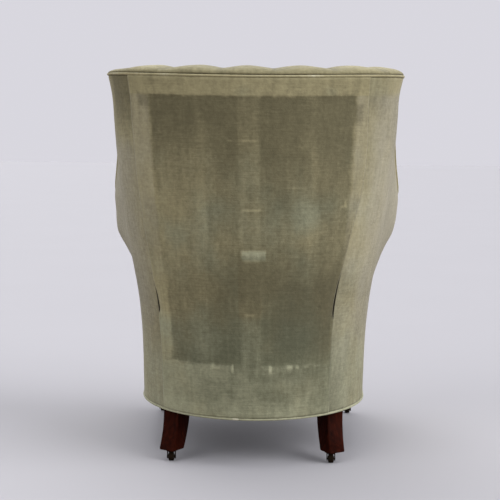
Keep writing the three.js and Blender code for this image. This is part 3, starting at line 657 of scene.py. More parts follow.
backLevels = {  # how threadbare the back is in each place, from 0 for full pile to about 1
    "field": -0.02, "middle": 0.30, "left": 0.28, "leftAll": 0.07, "lowRight": -0.20, "slatTop": 0.23,
    "slatMiddle": 0.13, "slatLow": 0.36, "sideSlats": 0.10, "leftPost": 0.48, "rightPost": 0.16, "rail": 0.68,
    "base": 0.35, "patch": 0.3,
}


def backWear(share, x, z):
    level = backLevels
    low = 1 - smooth(z, 350, 430)
    field = level["middle"] * smooth(z, 440, 575) * (1 - smooth(z, 610, 900)) + level["field"]
    field += (0.12 - 0.06 * smooth(z, 400, 600)) * ripple((x, 0, z), 0.011, 11) - 0.03 * (1 - smooth(z, 255, 330))
    field += level["left"] * smooth(x, 0, 210) * band(z, 280, 800, 60) + level["leftAll"] * smooth(x, 0, 200)
    field += level["lowRight"] * smooth(-x, -40, 60) * (1 - smooth(z, 380, 480))
    field += 0.12 * spot(x, z, (-125, 620), (60, 80))
    slat = level["slatTop"] * smooth(z, 560, 760) + level["slatMiddle"] * band(z, 560, 640, 40)
    slat += level["slatLow"] * low
    sides = level["sideSlats"] * (1 - smooth(abs(abs(x + 8) - frameMarks["sideSlat"]), 6, 26))
    if share > 0:
        upright = level["leftPost"] + 0.30 * smooth(z, 640, 690) + 0.26 * (1 - smooth(z, 400, 560))
        upright *= 1 - 0.55 * band(z, 895, 925, 8) * band(share, 0.255, 0.31, 0.01)
        upright *= 1 - 0.3 * smooth(share, 0.315, 0.345) * smooth(z, 800, 900)
    else:
        upright = level["rightPost"] + 0.60 * smooth(z, 480, 820) + 0.2 * low
        upright *= 1 - 0.5 * band(z, 855, 905, 8) * band(-share, 0.25, 0.285, 0.01)
    wear = max(field + slatMark(x, z) * slat + sides, postMark(share, x, z) * upright + field * 0.4)
    rail = level["rail"] + 0.22 * ragged(x, z, 3) + 0.16 * smooth(x, -180, 120) - 0.18 * smooth(x, 190, 310)
    base = level["base"] + 0.22 * ripple((x, 0, z), 0.014, 5) + 0.12 * ripple((x, 0, z), 0.04, 7)
    base += 0.46 * smooth(x, 20, 200) - 0.08 * smooth(-x, 60, 200) + 0.25 * (1 - smooth(z, 138, 185))
    wear = max(wear, railMark(share, x, z) * rail, baseMark(x, z) * base)
    wear += palePatch(x, z) * (level["patch"] + 0.5 * smooth(z, 528, 543))
    for px, pz, wide, high, strength in paleMarks:
        across, along = abs(x - px) / wide, abs(z - pz) / high
        if across < 1 and along < 1:
            wear += strength * (1 - smooth(across, 0.4, 1)) * (1 - smooth(along, 0.3, 1))
    return wear


def backGreen(share, x, z):  # how grey-green the pile is
    green = 0.22 + 0.62 * (1 - smooth(z, 330, 430)) + 0.15 * (1 - smooth(z, 235, 275))
    green += 0.6 * spot(x, z, (-130, 625), (46, 60)) + 0.5 * spot(x, z, (190, 560), (40, 60))
    green += 0.25 * band(z, 540, 690, 50) - 0.6 * slatMark(x, z) * band(z, 385, 510, 14)
    green -= 0.2 * smooth(abs(x), 100, 200) * (1 - smooth(z, 700, 800)) + 0.25 * smooth(z, 740, 840)
    green += 0.6 * palePatch(x, z)
    green += 0.35 * ripple((x, 0, z), 0.013, 8) * (1 - smooth(z, 600, 750))
    return green - (0.3 - 0.9 * ripple((x, 0, z), 0.02, 14)) * railMark(share, x, z)


def backDust(share, x, z):
    return 0.5 * postMark(share, x, z) * (1 - railMark(share, x, z)) * smooth(z, 400, 600) - 0.1


# painted shade along a cover's edges: in the crease above the base piping, under the rim piping and by the lips of an
# open seam; a darker line along each seam; and patches of real dirt
def edgeShadeAndSoil(share, x, z):
    side = -1 if share < 0 else 1
    away = abs(fromSeam(share, z))
    low = 0.15 * (1 - smooth(z, cover["low"] + 1, cover["low"] + 5))
    high = 0.16 * (1 - smooth(rimHeight(share) - body["piping"] - z, 2, 5))
    seam = 0.3 * (1 - smooth(away, 0.5, 3.5)) * (0.7 + 0.5 * ragged(x, z, 8)) * (1 - 0.6 * smooth(z, 780, 850))
    lips = 0.3 * smooth(slitAt(side, z), 0.2, 1.4) * (1 - smooth(away, 2, 9))
    return max(low, high, seam, lips) + 0.10 * smooth(ragged(x, z, 15), 0.45, 0.9)


# the edges' painted shade and dirt, and a darker stretch low on the right of the back
def backSoilAndShade(share, x, z):
    return edgeShadeAndSoil(share, x, z) + 0.36 * smooth(-x, 0, 90) * band(z, 280, 490, 40) * (1 - postMark(share, x, z))


# the edges' painted shade and dirt, a dark patch high on the left corner, and painted shade in an open seam
def armSoilAndShade(share, x, z):
    side = -1 if share < 0 else 1
    # painted shade: the arm cover's lap, seen through an open seam, is painted near black
    dark = 1.6 * smooth(slitAt(side, z), 0.15, 0.8) * (1 - smooth(fromSeam(share, z), -0.5, 0.3))
    corner = 0.25 * band(abs(share), 0.30, 0.46, 0.05) * smooth(z, 860, 930) if side > 0 else 0
    return max(edgeShadeAndSoil(share, x, z), dark) + corner


def coverGrid(shareAt, size, makers):
    # a grid over the wall; makers give its inset and the numbers that its finish reads
    columns, levels = (int(length / cover["cell"]) for length in size)
    rows, numbers = [], {key: [] for key in makers if key != "inset"}
    for t in steps(0, 1, levels):
        row, values = [], {key: [] for key in numbers}
        for u in steps(0, 1, columns):
            top = rimHeight(shareAt(u, rimHeight(shareAt(u, cover["nearRim"])))) - body["piping"] - cover["gap"]
            height = lerp(cover["low"], top, t)
            share = shareAt(u, height)
            place = wallPoint(share, height, 0)
            x, y, _ = wallPoint(share, height, makers["inset"](share, height, place))
            row.append((x, y, height))
            for key in values:
                values[key].append(makers[key](share, place[0], height))
        rows.append(row)
        for key in numbers:
            numbers[key].append(values[key])
    return rows, numbers


def finishCover(name, rows, numbers, node):
    piece = gridPiece(name, rows, numbers)
    applied(piece, "SOLIDIFY", thickness=cover["thickness"] * mm, offset=-1)
    smoothShaded(piece)
    return dress(piece, "outside", stands=[node])


def rolledEdges(share, height):  # a cover is drawn in along its top and its foot
    top = cover["rollTop"] * (1 - smooth(rimHeight(share) - height, 2, 7))
    return top + cover["rollLow"] * (1 - smooth(height, 124, 132))


def backInset(share, height, place):
    away = -fromSeam(share, height)
    groove = cover["groove"] * (1 - smooth(away, 0, cover["grooveReach"]))
    hollow = cover["hollow"] * (1 - imprint(share, place[0], height))
    wave = 0.7 * ripple(place, 0.011, 1) + 0.25 * ripple(place, 0.05, 4)
    pulls = 0.5 * math.sin(place[0] * 0.21) * (1 - smooth(height, 124, 168))
    return groove + rolledEdges(share, height) + hollow + wave + pulls


def outsideBack():
    def shareAt(u, height):
        return lerp(-seamAt(-1, height), seamAt(1, height), u)
    makers = {"inset": backInset, "wear": backWear, "green": backGreen, "dust": backDust, "soil": backSoilAndShade}
    rows, numbers = coverGrid(shareAt, cover["back"], makers)
    for row in rows:  # the open stretch of each seam is drawn back from it
        for i, u in enumerate(steps(0, 1, len(row) - 1)):
            x, y, z = row[i]
            share = shareAt(u, z)
            side = -1 if share < 0 else 1
            draw = slitAt(side, z) * (1 - smooth(-fromSeam(share, z), 0, 26))
            row[i] = (x - side * draw, y, z)
    return finishCover("outside_back_cover", rows, numbers, "outside_back")


armLevels = {  # how threadbare the arms are, as above
    "field": 0.54, "uneven": 0.12, "middle": 0.16, "rim": 0.15, "low": -0.12, "left": 0.12, "leftCorner": -0.5,
    "right": 0.2, "rightCorner": -0.25, "rightFoot": -0.2, "rightSeam": -0.22,
}


def armWear(share, x, z):
    level, rim = armLevels, rimHeight(share)
    wear = level["field"] + level["uneven"] * ripple((x, share * 900, z), 0.008, 2)
    wear += level["middle"] * band(z, 540, 780, 70) + level["low"] * band(z, 280, 470, 50)
    wear += level["rim"] * smooth(z, rim - 60, rim - 30)
    if share > 0:
        corner = band(share, 0.30, 0.47, 0.04) * smooth(z, 800, 920)
        return wear + level["left"] + level["leftCorner"] * corner
    corner = band(-share, 0.30, 0.40, 0.04) * smooth(z, 840, 940)
    seam = (1 - smooth(-share, 0.26, 0.32)) * (1 - smooth(z, 300, 420))
    wear += level["right"] + level["rightCorner"] * corner + level["rightSeam"] * seam
    return wear + level["rightFoot"] * (1 - smooth(z, 180, 300))


def armGreen(share, x, z):
    if share > 0:
        extra = -0.3 * smooth(z, 840, 920)
    else:
        extra = 0.35 * (1 - smooth(-share, 0.29, 0.37)) * (1 - smooth(z, 380, 560))
    return 0.2 + 0.45 * (1 - smooth(z, 220, 420)) + 0.2 * ripple((x, share * 900, z), 0.01, 12) + extra


# grey over the arms: some dust all over, and painted sheen that grows as the arm turns sideways towards its front;
# less near the rim and at the left corner
def armDustAndSheen(share, x, z):
    corner = smooth(z, 770, 880) if share > 0 else 0
    run, rim = abs(share), rimHeight(share)
    dust = (0.15 + 0.3 * smooth(run, 0.32, 0.4) + 0.5 * smooth(run, 0.4, 0.62)) * smooth(z, 200, 420) + 0.25
    return dust * (1 - corner) * (1 - 0.7 * smooth(z, rim - 60, rim - 35))


def armInset(share, height, place):
    away = fromSeam(share, height)
    groove = cover["armGroove"] * (1 - smooth(away, 0, cover["grooveReach"]))
    under = 1.5 * (1 - smooth(away, -2, 0.5))
    wave = 0.9 * ripple(place, 0.009, 6) + 0.25 * ripple(place, 0.045, 2)
    full = 2 * band(abs(share), 0.45, 0.68, 0.08) * band(height, 790, 905, 45)
    if share > 0:
        full += 8 * smooth(1 - share, 0.005, 0.06) * smooth(share, 0.5, 0.7) * band(height, 495, 575, 40)
    else:
        full *= 2
    return groove + under + rolledEdges(share, height) + wave + 0.8 - full


def outsideArm(name, side):
    lap = cover["lap"] / cover["perShare"]  # laid under the edge of the outside back

    def shareAt(u, height):
        start = seamAt(side, height) - lap
        return side * lerp(start, 1, (u if side < 0 else 1 - u) ** 1.3)
    makers = {"inset": armInset, "wear": armWear, "green": armGreen, "dust": armDustAndSheen, "soil": armSoilAndShade}
    rows, numbers = coverGrid(shareAt, cover["arm"], makers)
    return finishCover(f"outside_arm_cover_{name}", rows, numbers, f"outside_arm_{name}")


backCover = outsideBack()
armCovers = [outsideArm(name, side) for name, side in bothSides.items()]
print("outside covers are made")


# piping

pipe = {"radius": 3.0, "sides": 10, "uneven": 0.05, "stitch": 0.03, "rimSteps": 320, "baseSteps": 300}


def pipingPiece(name, points, wearOf, node, radius=pipe["radius"], green=0.1):
    rows, wear = [], []
    line = [Vector(p) for p in points]
    lastSide = None
    for i, p in enumerate(line):
        ahead = (line[min(i + 1, len(line) - 1)] - line[max(i - 1, 0)]).normalized()
        across = (lastSide - ahead * lastSide.dot(ahead)) if lastSide else ahead.cross(Vector((0, 0, 1)))
        if across.length < 1e-6:
            across = ahead.cross(Vector((0, 1, 0)))
        across.normalize()
        lastSide = across
        up = ahead.cross(across).normalized()
        swell = radius * (1 + pipe["uneven"] * ripple(p, 0.09) + pipe["stitch"] * math.sin(i * 1.9))
        turns = [k / pipe["sides"] * 2 * math.pi for k in range(pipe["sides"])]
        rows.append([tuple(p + across * (math.cos(a) * swell) + up * (math.sin(a) * swell)) for a in turns])
        wear.append([wearOf(p)] * pipe["sides"])
    piece = gridPiece(name, rows, {"wear": wear}, wrap=True, caps=True)
    paint(piece, green=lambda p: green, dust=lambda p: 0.1)
    outwards(piece)
    smoothShaded(piece, 60)
    return dress(piece, "piping", stands=[node])


def rimPiping():
    points = [wallPoint(s, rimHeight(s), 1.0) for s in steps(-1, 1, pipe["rimSteps"])]
    pipingPiece("rim_welt", points, lambda p: 1.1 + 0.5 * ripple(p, 0.02, 9), "rim_piping")


def baseWear(p):  # with one bare spot at the back
    fleck = (1 - smooth(abs(p[0] - 38), 3, 8)) if p[1] > 0 else 0
    return 1.05 + 0.4 * ripple(p, 0.02, 5) + 1.5 * fleck


def basePiping():
    height = body["floorGap"] + body["piping"]
    points = [wallPoint(s, height, 1.0) for s in steps(-1, 1, pipe["baseSteps"])]
    pipingPiece("base_welt", points, baseWear, "base_piping", green=1.0)


rimPiping()
basePiping()
print("piping is sewn in")


# buttoned inside

tufting = {
    "topRow": 92, "rowSpacing": 100, "rows": 5, "depth": 27, "pleat": 0.55, "reach": 0.3, "crestRise": 24,
    "crestPleat": 8, "overPiping": 2.9, "fadeLow": 425, "fadeHigh": 470, "foot": 300, "columnsPerLobe": 22,
    "rowStep": 9, "levels": 1,
}
lobePlaces = {  # where the pleats between the lobes are; old stuffing is never quite even
    "lobe": [-7.5, -3.5, -2.5, -1.5, -0.5, 0.5, 1.5, 2.5, 3.5, 7.5],
    "share": [-1, -0.5294, -0.365, -0.196, -0.0486, 0.0789, 0.222, 0.375, 0.5294, 1],
}
crestDrop = [  # how far the crest is pressed down along its length
    (-0.65, 0), (-0.5, 0.5), (-0.42, 0), (-0.36, -2), (-0.22, -3), (-0.1, -4), (0.1, -4), (0.2, -2.5), (0.3, 0),
    (0.38, 1), (0.43, 9), (0.57, 9), (0.65, 0),
]
crestSection = [
    (1, 0), (0.985, 0.22), (0.97, 0.45), (0.93, 0.68), (0.87, 0.83), (0.78, 0.95), (0.67, 1), (0.52, 0.965),
    (0.38, 0.88), (0.25, 0.77), (0.13, 0.64), (0.06, 0.47), (0.025, 0.34), (0.008, 0.16), (0, 0),
]


def lobeAt(share):
    return float(np.interp(share, lobePlaces["share"], lobePlaces["lobe"]))


def shareAtLobe(lobe):
    return float(np.interp(lobe, lobePlaces["lobe"], lobePlaces["share"]))


def fullness(share, drop):  # 1 on top of a lobe, less in a pleat, 0 at a button
    lobe = lobeAt(share)
    row = max((drop - tufting["topRow"]) / tufting["rowSpacing"], 0)
    left, right = lobe - 0.5 + row / 2, lobe - 0.5 - row / 2
    pillow = math.sqrt(abs(math.sin(math.pi * left) * math.sin(math.pi * right)))
    above = min((drop - tufting["topRow"]) / tufting["rowSpacing"], 0)
    gaps = [abs(v - round(v)) for v in (left, right)]
    reach = math.hypot(gaps[0], gaps[1], above) / tufting["reach"]
    least = (1 - tufting["pleat"]) * (1 - math.exp(-reach * reach))
    return lerp(least, 1, pillow)


def padColumn(share):
    rim = rimHeight(share)
    points, wear, soil = [], [], []
    faceRows = int((body["crest"] - tufting["foot"]) / tufting["rowStep"])
    for t in steps(0, 1, faceRows):
        height = lerp(tufting["foot"], rim, t)
        fade = smooth(height, tufting["fadeLow"], tufting["fadeHigh"])
        full = lerp(1, fullness(share, rim - height), fade)
        base = wallPoint(share, height, 0)
        wave = 1.2 * ripple(base, 0.02, 7) + 0.5 * ripple(base, 0.07, 2)
        points.append(wallPoint(share, height, faceInset(share, height) - tufting["depth"] * (1 - full) + wave))
        wear.append(0.12 + 0.5 * smooth(full, 0.75, 1))
        # painted shade in the pleats and round the buttons
        soil.append(0.8 * (1 - smooth(full, 0.1, 0.75)))
    crestFull = abs(math.cos(math.pi * lobeAt(share)))
    drop = through(crestDrop, share)
    sunk = tufting["depth"] * (1 - fullness(share, 0))
    topInset = faceInset(share, rim) - sunk
    for inward, rise in crestSection[1:]:
        full = tufting["crestRise"] - drop - tufting["crestPleat"] * (1 - crestFull)
        base = lerp(rim + tufting["overPiping"], rim, inward)
        x, y, _ = wallPoint(share, rim, topInset * inward)
        wave = 0.8 * ripple((x, y, rim), 0.03, 3)
        points.append((x, y, base + (full + wave) * rise))
        old = 0.22 + 0.4 * smooth(abs(share), 0.1, 0.38) + 0.12 * smooth(-share, 0.1, 0.3)
        wear.append(0.33 + old * rise * crestFull)
        # painted shade in the crest's pleats and along its foot at the piping
        soil.append(0.6 * (1 - smooth(crestFull, 0, 0.3)) * rise + 0.22 * (1 - smooth(rise, 0, 0.2)))
    for t in steps(0, 1, 10):
        height = lerp(rim + (tufting["overPiping"] if t == 0 else 0), tufting["foot"], t)
        x, y, _ = wallPoint(share, min(height, rim), body["padBack"])
        points.append((x, y, height))
        wear.append(0)
        # painted shade on the pad's back, against the frame
        soil.append(0.6)
    return points, wear, soil


def padPiece(name, fromShare, toShare, lobes, node):
    shares = steps(fromShare, toShare, int(lobes * tufting["columnsPerLobe"]))
    columns = [padColumn(s) for s in shares]
    rows, wear, soil = ([c[i] for c in columns] for i in range(3))
    piece = gridPiece(name, rows, {"wear": wear, "soil": soil}, wrap=True, caps=True)
    outwards(piece, 0.0002)
    applied(piece, "SUBSURF", levels=tufting["levels"], render_levels=tufting["levels"])
    smoothShaded(piece)
    dress(piece, "inside", stands=[node])
    return piece


backEdge = lobePlaces["share"][-2]
padPiece("buttoned_back", -backEdge, backEdge, 7, "inside_back")
for name, side in bothSides.items():
    padPiece(f"buttoned_arm_{name}", side * (backEdge + 0.001), side, 4, f"inside_arm_{name}")
print("inside is buttoned")


# buttons

button = {"radius": 10.5, "flat": 0.62, "sunk": 3, "proud": 1.5, "wear": 0.55, "lastShare": 0.985, "clear": 6}


def coveredButton():
    piece = flatBall(18, 10, button["radius"], button["flat"])
    bpy.ops.object.mode_set(mode="EDIT")
    bpy.ops.mesh.select_all(action="SELECT")
    bpy.ops.mesh.bisect(
        plane_co=(0, 0, -button["sunk"] * mm), plane_no=(0, 0, 1), clear_inner=True, use_fill=True,
    )
    bpy.ops.object.mode_set(mode="OBJECT")
    return piece


def buttonPlaces():  # every other row is shifted by half a lobe
    places = []
    for row in range(tufting["rows"]):
        for k in range(-9, 10):
            share = shareAtLobe(k + 0.5 * ((row + 1) % 2))
            height = rimHeight(share) - tufting["topRow"] - row * tufting["rowSpacing"]
            if abs(share) <= button["lastShare"] and height >= tufting["fadeHigh"] + button["clear"]:
                places.append((share, height))
    return places


def buttons():
    moves = []
    for share, height in buttonPlaces():
        inset = faceInset(share, height) - tufting["depth"] + button["proud"]
        place = Vector(wallPoint(share, height, inset)) * mm
        ahead = Vector(wallPoint(share, height, inset + 10)) * mm - place
        moves.append(Matrix.Translation(place) @ ahead.to_track_quat("Z", "Y").to_matrix().to_4x4())
    piece = scattered(coveredButton(), "buttons", moves)
    paint(piece, wear=lambda p: button["wear"])
    return dress(piece, "inside")


buttons()
print("buttons are on")


# seat, border and facings

seatPad = {
    "under": 334, "top": 450, "crown": 50, "nose": 42, "bow": 14, "gap": 1, "wallTop": 425, "waist": 400,
    "limit": 458, "voxel": 7, "cap": 16, "hold": (372, 405),
}
crownSteps = [
    (0.006, 0.16), (0.02, 0.4), (0.06, 0.7), (0.12, 0.8), (0.2, 0.86), (0.32, 0.92), (0.45, 0.96), (0.75, 1),
]
puffing = {"pressure": 4, "frames": 20}


def puff(piece, pad, reachOf):
    # the pad is blown up as cloth over its stuffing; no point ends further than cap from where it was, and
    # what reachOf puts below the first number of hold stays where it is
    piece.data.remesh_voxel_size = pad["voxel"] * mm
    pick(piece)
    bpy.ops.object.voxel_remesh()
    before = np.empty(len(piece.data.vertices) * 3)
    piece.data.vertices.foreach_get("co", before)
    cloth = piece.modifiers.new("Cloth", "CLOTH")
    cloth.settings.use_pressure = True
    cloth.settings.uniform_pressure_force = puffing["pressure"]
    cloth.settings.effector_weights.gravity = 0
    scene = bpy.context.scene
    for step in range(1, puffing["frames"] + 1):
        scene.frame_set(step)
    pick(piece)
    bpy.ops.object.modifier_apply(modifier="Cloth")
    scene.frame_set(1)
    after = np.empty_like(before)
    piece.data.vertices.foreach_get("co", after)
    move = (after - before).reshape(-1, 3)
    far = np.linalg.norm(move, axis=1)
    free = np.array([smooth(reachOf(p), *pad["hold"]) for p in before.reshape(-1, 3) / mm])
    move *= (np.minimum(far, pad["cap"] * mm) / np.maximum(far, 1e-9) * free)[:, None]
    piece.data.vertices.foreach_set("co", (before.reshape(-1, 3) + move).ravel())
    piece.data.update()
    applied(piece, "SUBSURF", levels=1, render_levels=1)
    return smoothShaded(piece)


def seatRing(drawn, height, shrink):
    level = min(height, seatPad["wallTop"])
    front = body["wallFront"] - seatPad["nose"] + seatPad["bow"]
    wall = [wallPoint(s, level, faceInset(s, level) + seatPad["gap"] + shrink) for s in steps(-1, 1, 96)]
    half = wall[-1][0]
    across = []
    for x in steps(half, -half, 32)[1:-1]:
        bow = seatPad["bow"] * (1 - (x / half) ** 2)
        across.append((x, front - bow + shrink, height))
    middle = (0, front / 2)
    return [(lerp(p[0], middle[0], drawn), lerp(p[1], middle[1], drawn), height) for p in (*wall, *across)]


def seat():
    low, edge = seatPad["under"], seatPad["top"] - seatPad["crown"]
    rows = [seatRing(0.75, low, 0), seatRing(0.3, low, 0), seatRing(0, low, 1)]
    rows += [seatRing(0, h, 1) for h in steps(low + 8, edge, 5)]
    rows += [seatRing(drawn, edge + seatPad["crown"] * risen, 1) for drawn, risen in crownSteps]
    piece = gridPiece("seat_pad", rows, wrap=True, caps=True)
    outwards(piece)
    puff(piece, seatPad, lambda p: p[2])
    waist, limit = seatPad["waist"] * mm, seatPad["limit"] * mm
    top = max(v.co.z for v in piece.data.vertices)
    if top > limit:  # the crown keeps its height
        for v in piece.data.vertices:
            if v.co.z > waist:
                v.co.z = waist + (v.co.z - waist) * (limit - waist) / (top - waist)
    paint(
        piece,
        wear=lambda p: 0.25 + 0.45 * smooth(-p[1], 260, 380) * smooth(p[2], 380, 430) + 0.2 * ripple(p, 0.012),
        # painted shade on the seat's lower part, down between the walls
        soil=lambda p: 0.6 * (1 - smooth(p[2], 385, 405)),
    )
    dress(piece, "inside", stands=["seat"])


borderPad = {
    "front": -358.3, "thick": 16, "low": 123.5, "high": 332, "crown": 3, "voxel": 5, "cap": 6, "hold": (345, 360),
}


def border():
    front, low, high = (borderPad[k] for k in ("front", "low", "high"))
    half = wallPoint(1, 250, body["armFace"])[0] - 1
    rows = []
    for x in steps(-half, half, 90):
        bow = seatPad["bow"] * (1 - (x / half) ** 2)
        crowns = [(t, borderPad["crown"] * math.sin(t * math.pi) ** 0.5) for t in steps(0, 1, 24)]
        out = [(x, front - bow + 4 - crown, lerp(low, high, t)) for t, crown in crowns]
        rows.append(out + [(x, front + borderPad["thick"], z) for z in steps(high, low, 8)])
    piece = gridPiece("front_border_pad", rows, wrap=True, caps=True)
    outwards(piece)
    puff(piece, borderPad, lambda p: -p[1])
    paint(
        piece, wear=lambda p: 0.35 + 0.3 * ripple(p, 0.01, 4) + 0.3 * (1 - smooth(p[2], 125, 150)),
        # painted shade along the top, under the seat's front
        soil=lambda p: 0.4 * smooth(p[2], 318, 332),
    )
    dress(piece, "inside", stands=["front_border"])


facing = {
    "front": -357, "crown": 5, "low": 124.5, "rise": 24, "padRise": 22, "voxel": 4, "cap": 4, "hold": (350, 360),
    "pipeRadius": 2.9, "pipeInset": 2.6, "pipeLow": 123.5, "pipeRise": 21.4, "pipeFront": -360.6,
}


def facingEdges(height, draw):  # outer and inner x of the end of an arm at a height
    rim = rimHeight(1)
    if height <= rim:
        return wallPoint(1, height, draw)[0], wallPoint(1, height, body["armFace"] - draw)[0]
    middle = wallPoint(1, rim, body["armFace"] / 2)[0]
    half = body["armFace"] / 2 - draw
    wide = half * math.sqrt(max(1 - ((height - rim) / (facing["rise"] - draw)) ** 2, 0))
    return middle + wide, middle - wide


def facingPad(name, side):
    rim = rimHeight(1)
    heights = steps(facing["low"], rim, 70)
    heights += [rim + facing["padRise"] * math.sin(a) for a in steps(0, math.pi / 2, 14)[1:]]
    rows = []
    for height in heights:
        outer, inner = facingEdges(height, 1)
        full = facing["crown"] * (1 - smooth(height, rim + 10, rim + 24)) * smooth(height, 122, 132)
        front = []
        for u in steps(-1, 1, 18):
            crown = full * (1 - abs(u) ** 2.6)
            front.append((side * lerp(outer, inner, (u + 1) / 2), facing["front"] - crown, height))
        back = [(side * lerp(inner, outer, t), body["wallFront"] - 0.3, height) for t in steps(0, 1, 6)]
        rows.append(front + back)
    piece = gridPiece(f"facing_pad_{name}", rows, wrap=True, caps=True)
    outwards(piece, 0.0003)
    puff(piece, facing, lambda p: -p[1])
    paint(
        piece, wear=lambda p: 0.3 + 0.35 * ripple(p, 0.013, 6) + 0.4 * smooth(p[2], 560, 670),
        # darker towards the foot of the facing
        soil=lambda p: 0.35 * (1 - smooth(p[2], 128, 150)),
    )
    dress(piece, "inside", stands=[f"arm_facing_{name}"])


def facingPiping(name, side):  # up the outer edge, over the top and down the inner edge
    rim, inset = rimHeight(1), facing["pipeInset"]
    line = [(facingEdges(h, inset)[0], h) for h in steps(facing["pipeLow"], rim, 90)]
    middle = wallPoint(1, rim, body["armFace"] / 2)[0]
    half = body["armFace"] / 2 - inset
    for a in steps(0, math.pi, 30)[1:-1]:
        line.append((middle + half * math.cos(a), rim + facing["pipeRise"] * math.sin(a)))
    line += [(facingEdges(h, inset)[1], h) for h in steps(rim, facing["pipeLow"], 90)]
    points = [(side * x, facing["pipeFront"], z) for x, z in line]
    pipingPiece(
        f"facing_welt_{name}", points, lambda p: 0.8 + 0.5 * ripple(p, 0.02), f"facing_piping_{name}",
        facing["pipeRadius"],
    )


seat()
border()
for name, side in bothSides.items():
    facingPad(name, side)
    facingPiping(name, side)
print("seat, border and facings are stuffed")


# legs

backLeg = {
    "foot": (202.665, 237.21), "turn": 33, "footWidth": 46, "width": 50, "low": 28, "sweep": 56, "ease": 3.2,
    "square": (170, 227), "neck": (229, 30), "post": (300, 400, 500, 620, 760, 900), "postWidth": 26,
    "splay": {1: 9, -1: 6}, "shift": {1: 0, -1: 4},  # the right leg stands a little further out
}


def extrudeTo(centre, width, last):
    # the selected end face goes on to a new centre and width
    move = Vector(centre) - Vector(last[0])
    bpy.ops.mesh.extrude_region_move(TRANSFORM_OT_translate={"value": tuple(move * mm)})
    scale = width / last[1]
    bpy.ops.transform.resize(value=(scale, scale, 1), center_override=tuple(Vector(centre) * mm))
    return centre, width


def legCentre(height, side):
    held = max(height, body["floorGap"])
    x0, y0, _ = wallPoint(body["post"], body["floorGap"], 0)
    x1, y1, _ = wallPoint(body["post"], held, 0)
    drop = (held - height) / (body["floorGap"] - backLeg["low"])
    x = backLeg["foot"][0] + backLeg["shift"][side] - backLeg["splay"][side] * (1 - drop * drop) + x1 - x0
    y = backLeg["foot"][1] - backLeg["sweep"] * (1 - drop * drop) + y1 - y0
    return (side * x, y, height)


def backLegPiece(name, side):
    clearSelection()
    turn = -math.radians(backLeg["turn"]) * side
    start = legCentre(backLeg["low"], side)
    bpy.ops.mesh.primitive_plane_add(
        size=backLeg["footWidth"] * mm, location=Vector(start) * mm, rotation=(0, 0, turn),
    )
    piece = bpy.context.object
    bpy.ops.object.transform_apply(location=True, rotation=True, scale=True)
    bpy.ops.object.mode_set(mode="EDIT")
    bpy.ops.mesh.select_all(action="SELECT")
    last = (start, backLeg["footWidth"])
    for height in steps(backLeg["low"], body["floorGap"], 14)[1:]:
        share = (height - backLeg["low"]) / (body["floorGap"] - backLeg["low"])
        last = extrudeTo(legCentre(height, side), lerp(backLeg["footWidth"], backLeg["width"], share), last)
    for height in backLeg["square"]:
        last = extrudeTo(legCentre(height, side), backLeg["width"], last)
    neck, neckWidth = backLeg["neck"]
    last = extrudeTo(legCentre(neck, side), neckWidth, last)
    for height in backLeg["post"]:
        last = extrudeTo(legCentre(height, side), backLeg["postWidth"], last)
    bpy.ops.object.mode_set(mode="OBJECT")
    outwards(piece)
    applied(
        piece, "BEVEL", width=backLeg["ease"] * mm, segments=3, limit_method="ANGLE", angle_limit=math.radians(35),
    )
    smoothShaded(piece, 40)
    piece.name = piece.data.name = f"sabre_leg_{name}"
    return dress(piece, "mahogany", stands=[f"back_leg_{name}"])


frontLeg = {
    "x": 275.587, "y": -323.7, "radius": 24.5, "low": 28, "high": 126.5, "sides": 40, "block": 50, "blockTop": 218.5,
    "blockEase": 1.5,
}
turnedShares = [
    (0.50, 0), (0.56, 0), (0.6, 0.02), (0.625, 0.06), (0.62, 0.09), (0.57, 0.115), (0.55, 0.13), (0.565, 0.16),
    (0.6, 0.2), (0.65, 0.28), (0.7, 0.36), (0.755, 0.44), (0.8, 0.52), (0.835, 0.59), (0.85, 0.66), (0.84, 0.71),
    (0.8, 0.76), (0.72, 0.785), (0.68, 0.8), (0.72, 0.82), (0.82, 0.83), (0.88, 0.85), (0.9, 0.868), (0.88, 0.885),
    (0.8, 0.9), (0.8, 0.91), (0.9, 0.915), (0.96, 0.93), (1, 0.96), (1, 1),
]


def turnedPiece(name, profile, sides, centre=(0, 0)):
    # a disc is added at the foot and drawn up ring by ring: pairs of radius and height in millimetres
    clearSelection()
    radius, low = profile[0]
    start = (centre[0], centre[1], low)
    bpy.ops.mesh.primitive_circle_add(
        vertices=sides, radius=radius * mm, fill_type="NGON", location=Vector(start) * mm,
    )
    piece = bpy.context.object
    bpy.ops.object.transform_apply(location=True, rotation=True, scale=True)
    bpy.ops.object.mode_set(mode="EDIT")
    bpy.ops.mesh.select_all(action="SELECT")
    last = (start, radius)
    for radius, height in profile[1:]:
        last = extrudeTo((centre[0], centre[1], height), radius, last)
    bpy.ops.object.mode_set(mode="OBJECT")
    outwards(piece, 0.00001)
    smoothShaded(piece, 40)
    piece.name = piece.data.name = name
    return piece


def frontLegPiece(name, side):
    low, high = frontLeg["low"], frontLeg["high"]
    profile = [(r * frontLeg["radius"], low + h * (high - low)) for r, h in turnedShares]
    centre = (side * frontLeg["x"], frontLeg["y"])
    turning = turnedPiece("turning", profile, frontLeg["sides"], centre)
    clearSelection()
    top, bottom = frontLeg["blockTop"], body["floorGap"]
    bpy.ops.mesh.primitive_cube_add(size=1, location=(centre[0] * mm, centre[1] * mm, (top + bottom) / 2 * mm))
    block = bpy.context.object
    block.scale = (frontLeg["block"] * mm, frontLeg["block"] * mm, (top - bottom) * mm)
    bpy.ops.object.transform_apply(location=True, rotation=True, scale=True)
    applied(block, "BEVEL", width=frontLeg["blockEase"] * mm, segments=2)
    piece = joined(f"turned_leg_{name}", [turning, block])
    smoothShaded(piece, 40)
    return dress(piece, "mahogany", stands=[f"front_leg_{name}"])


for name, side in bothSides.items():
    backLegPiece(name, side)
    frontLegPiece(name, side)
print("legs are turned and sawn")


# castors

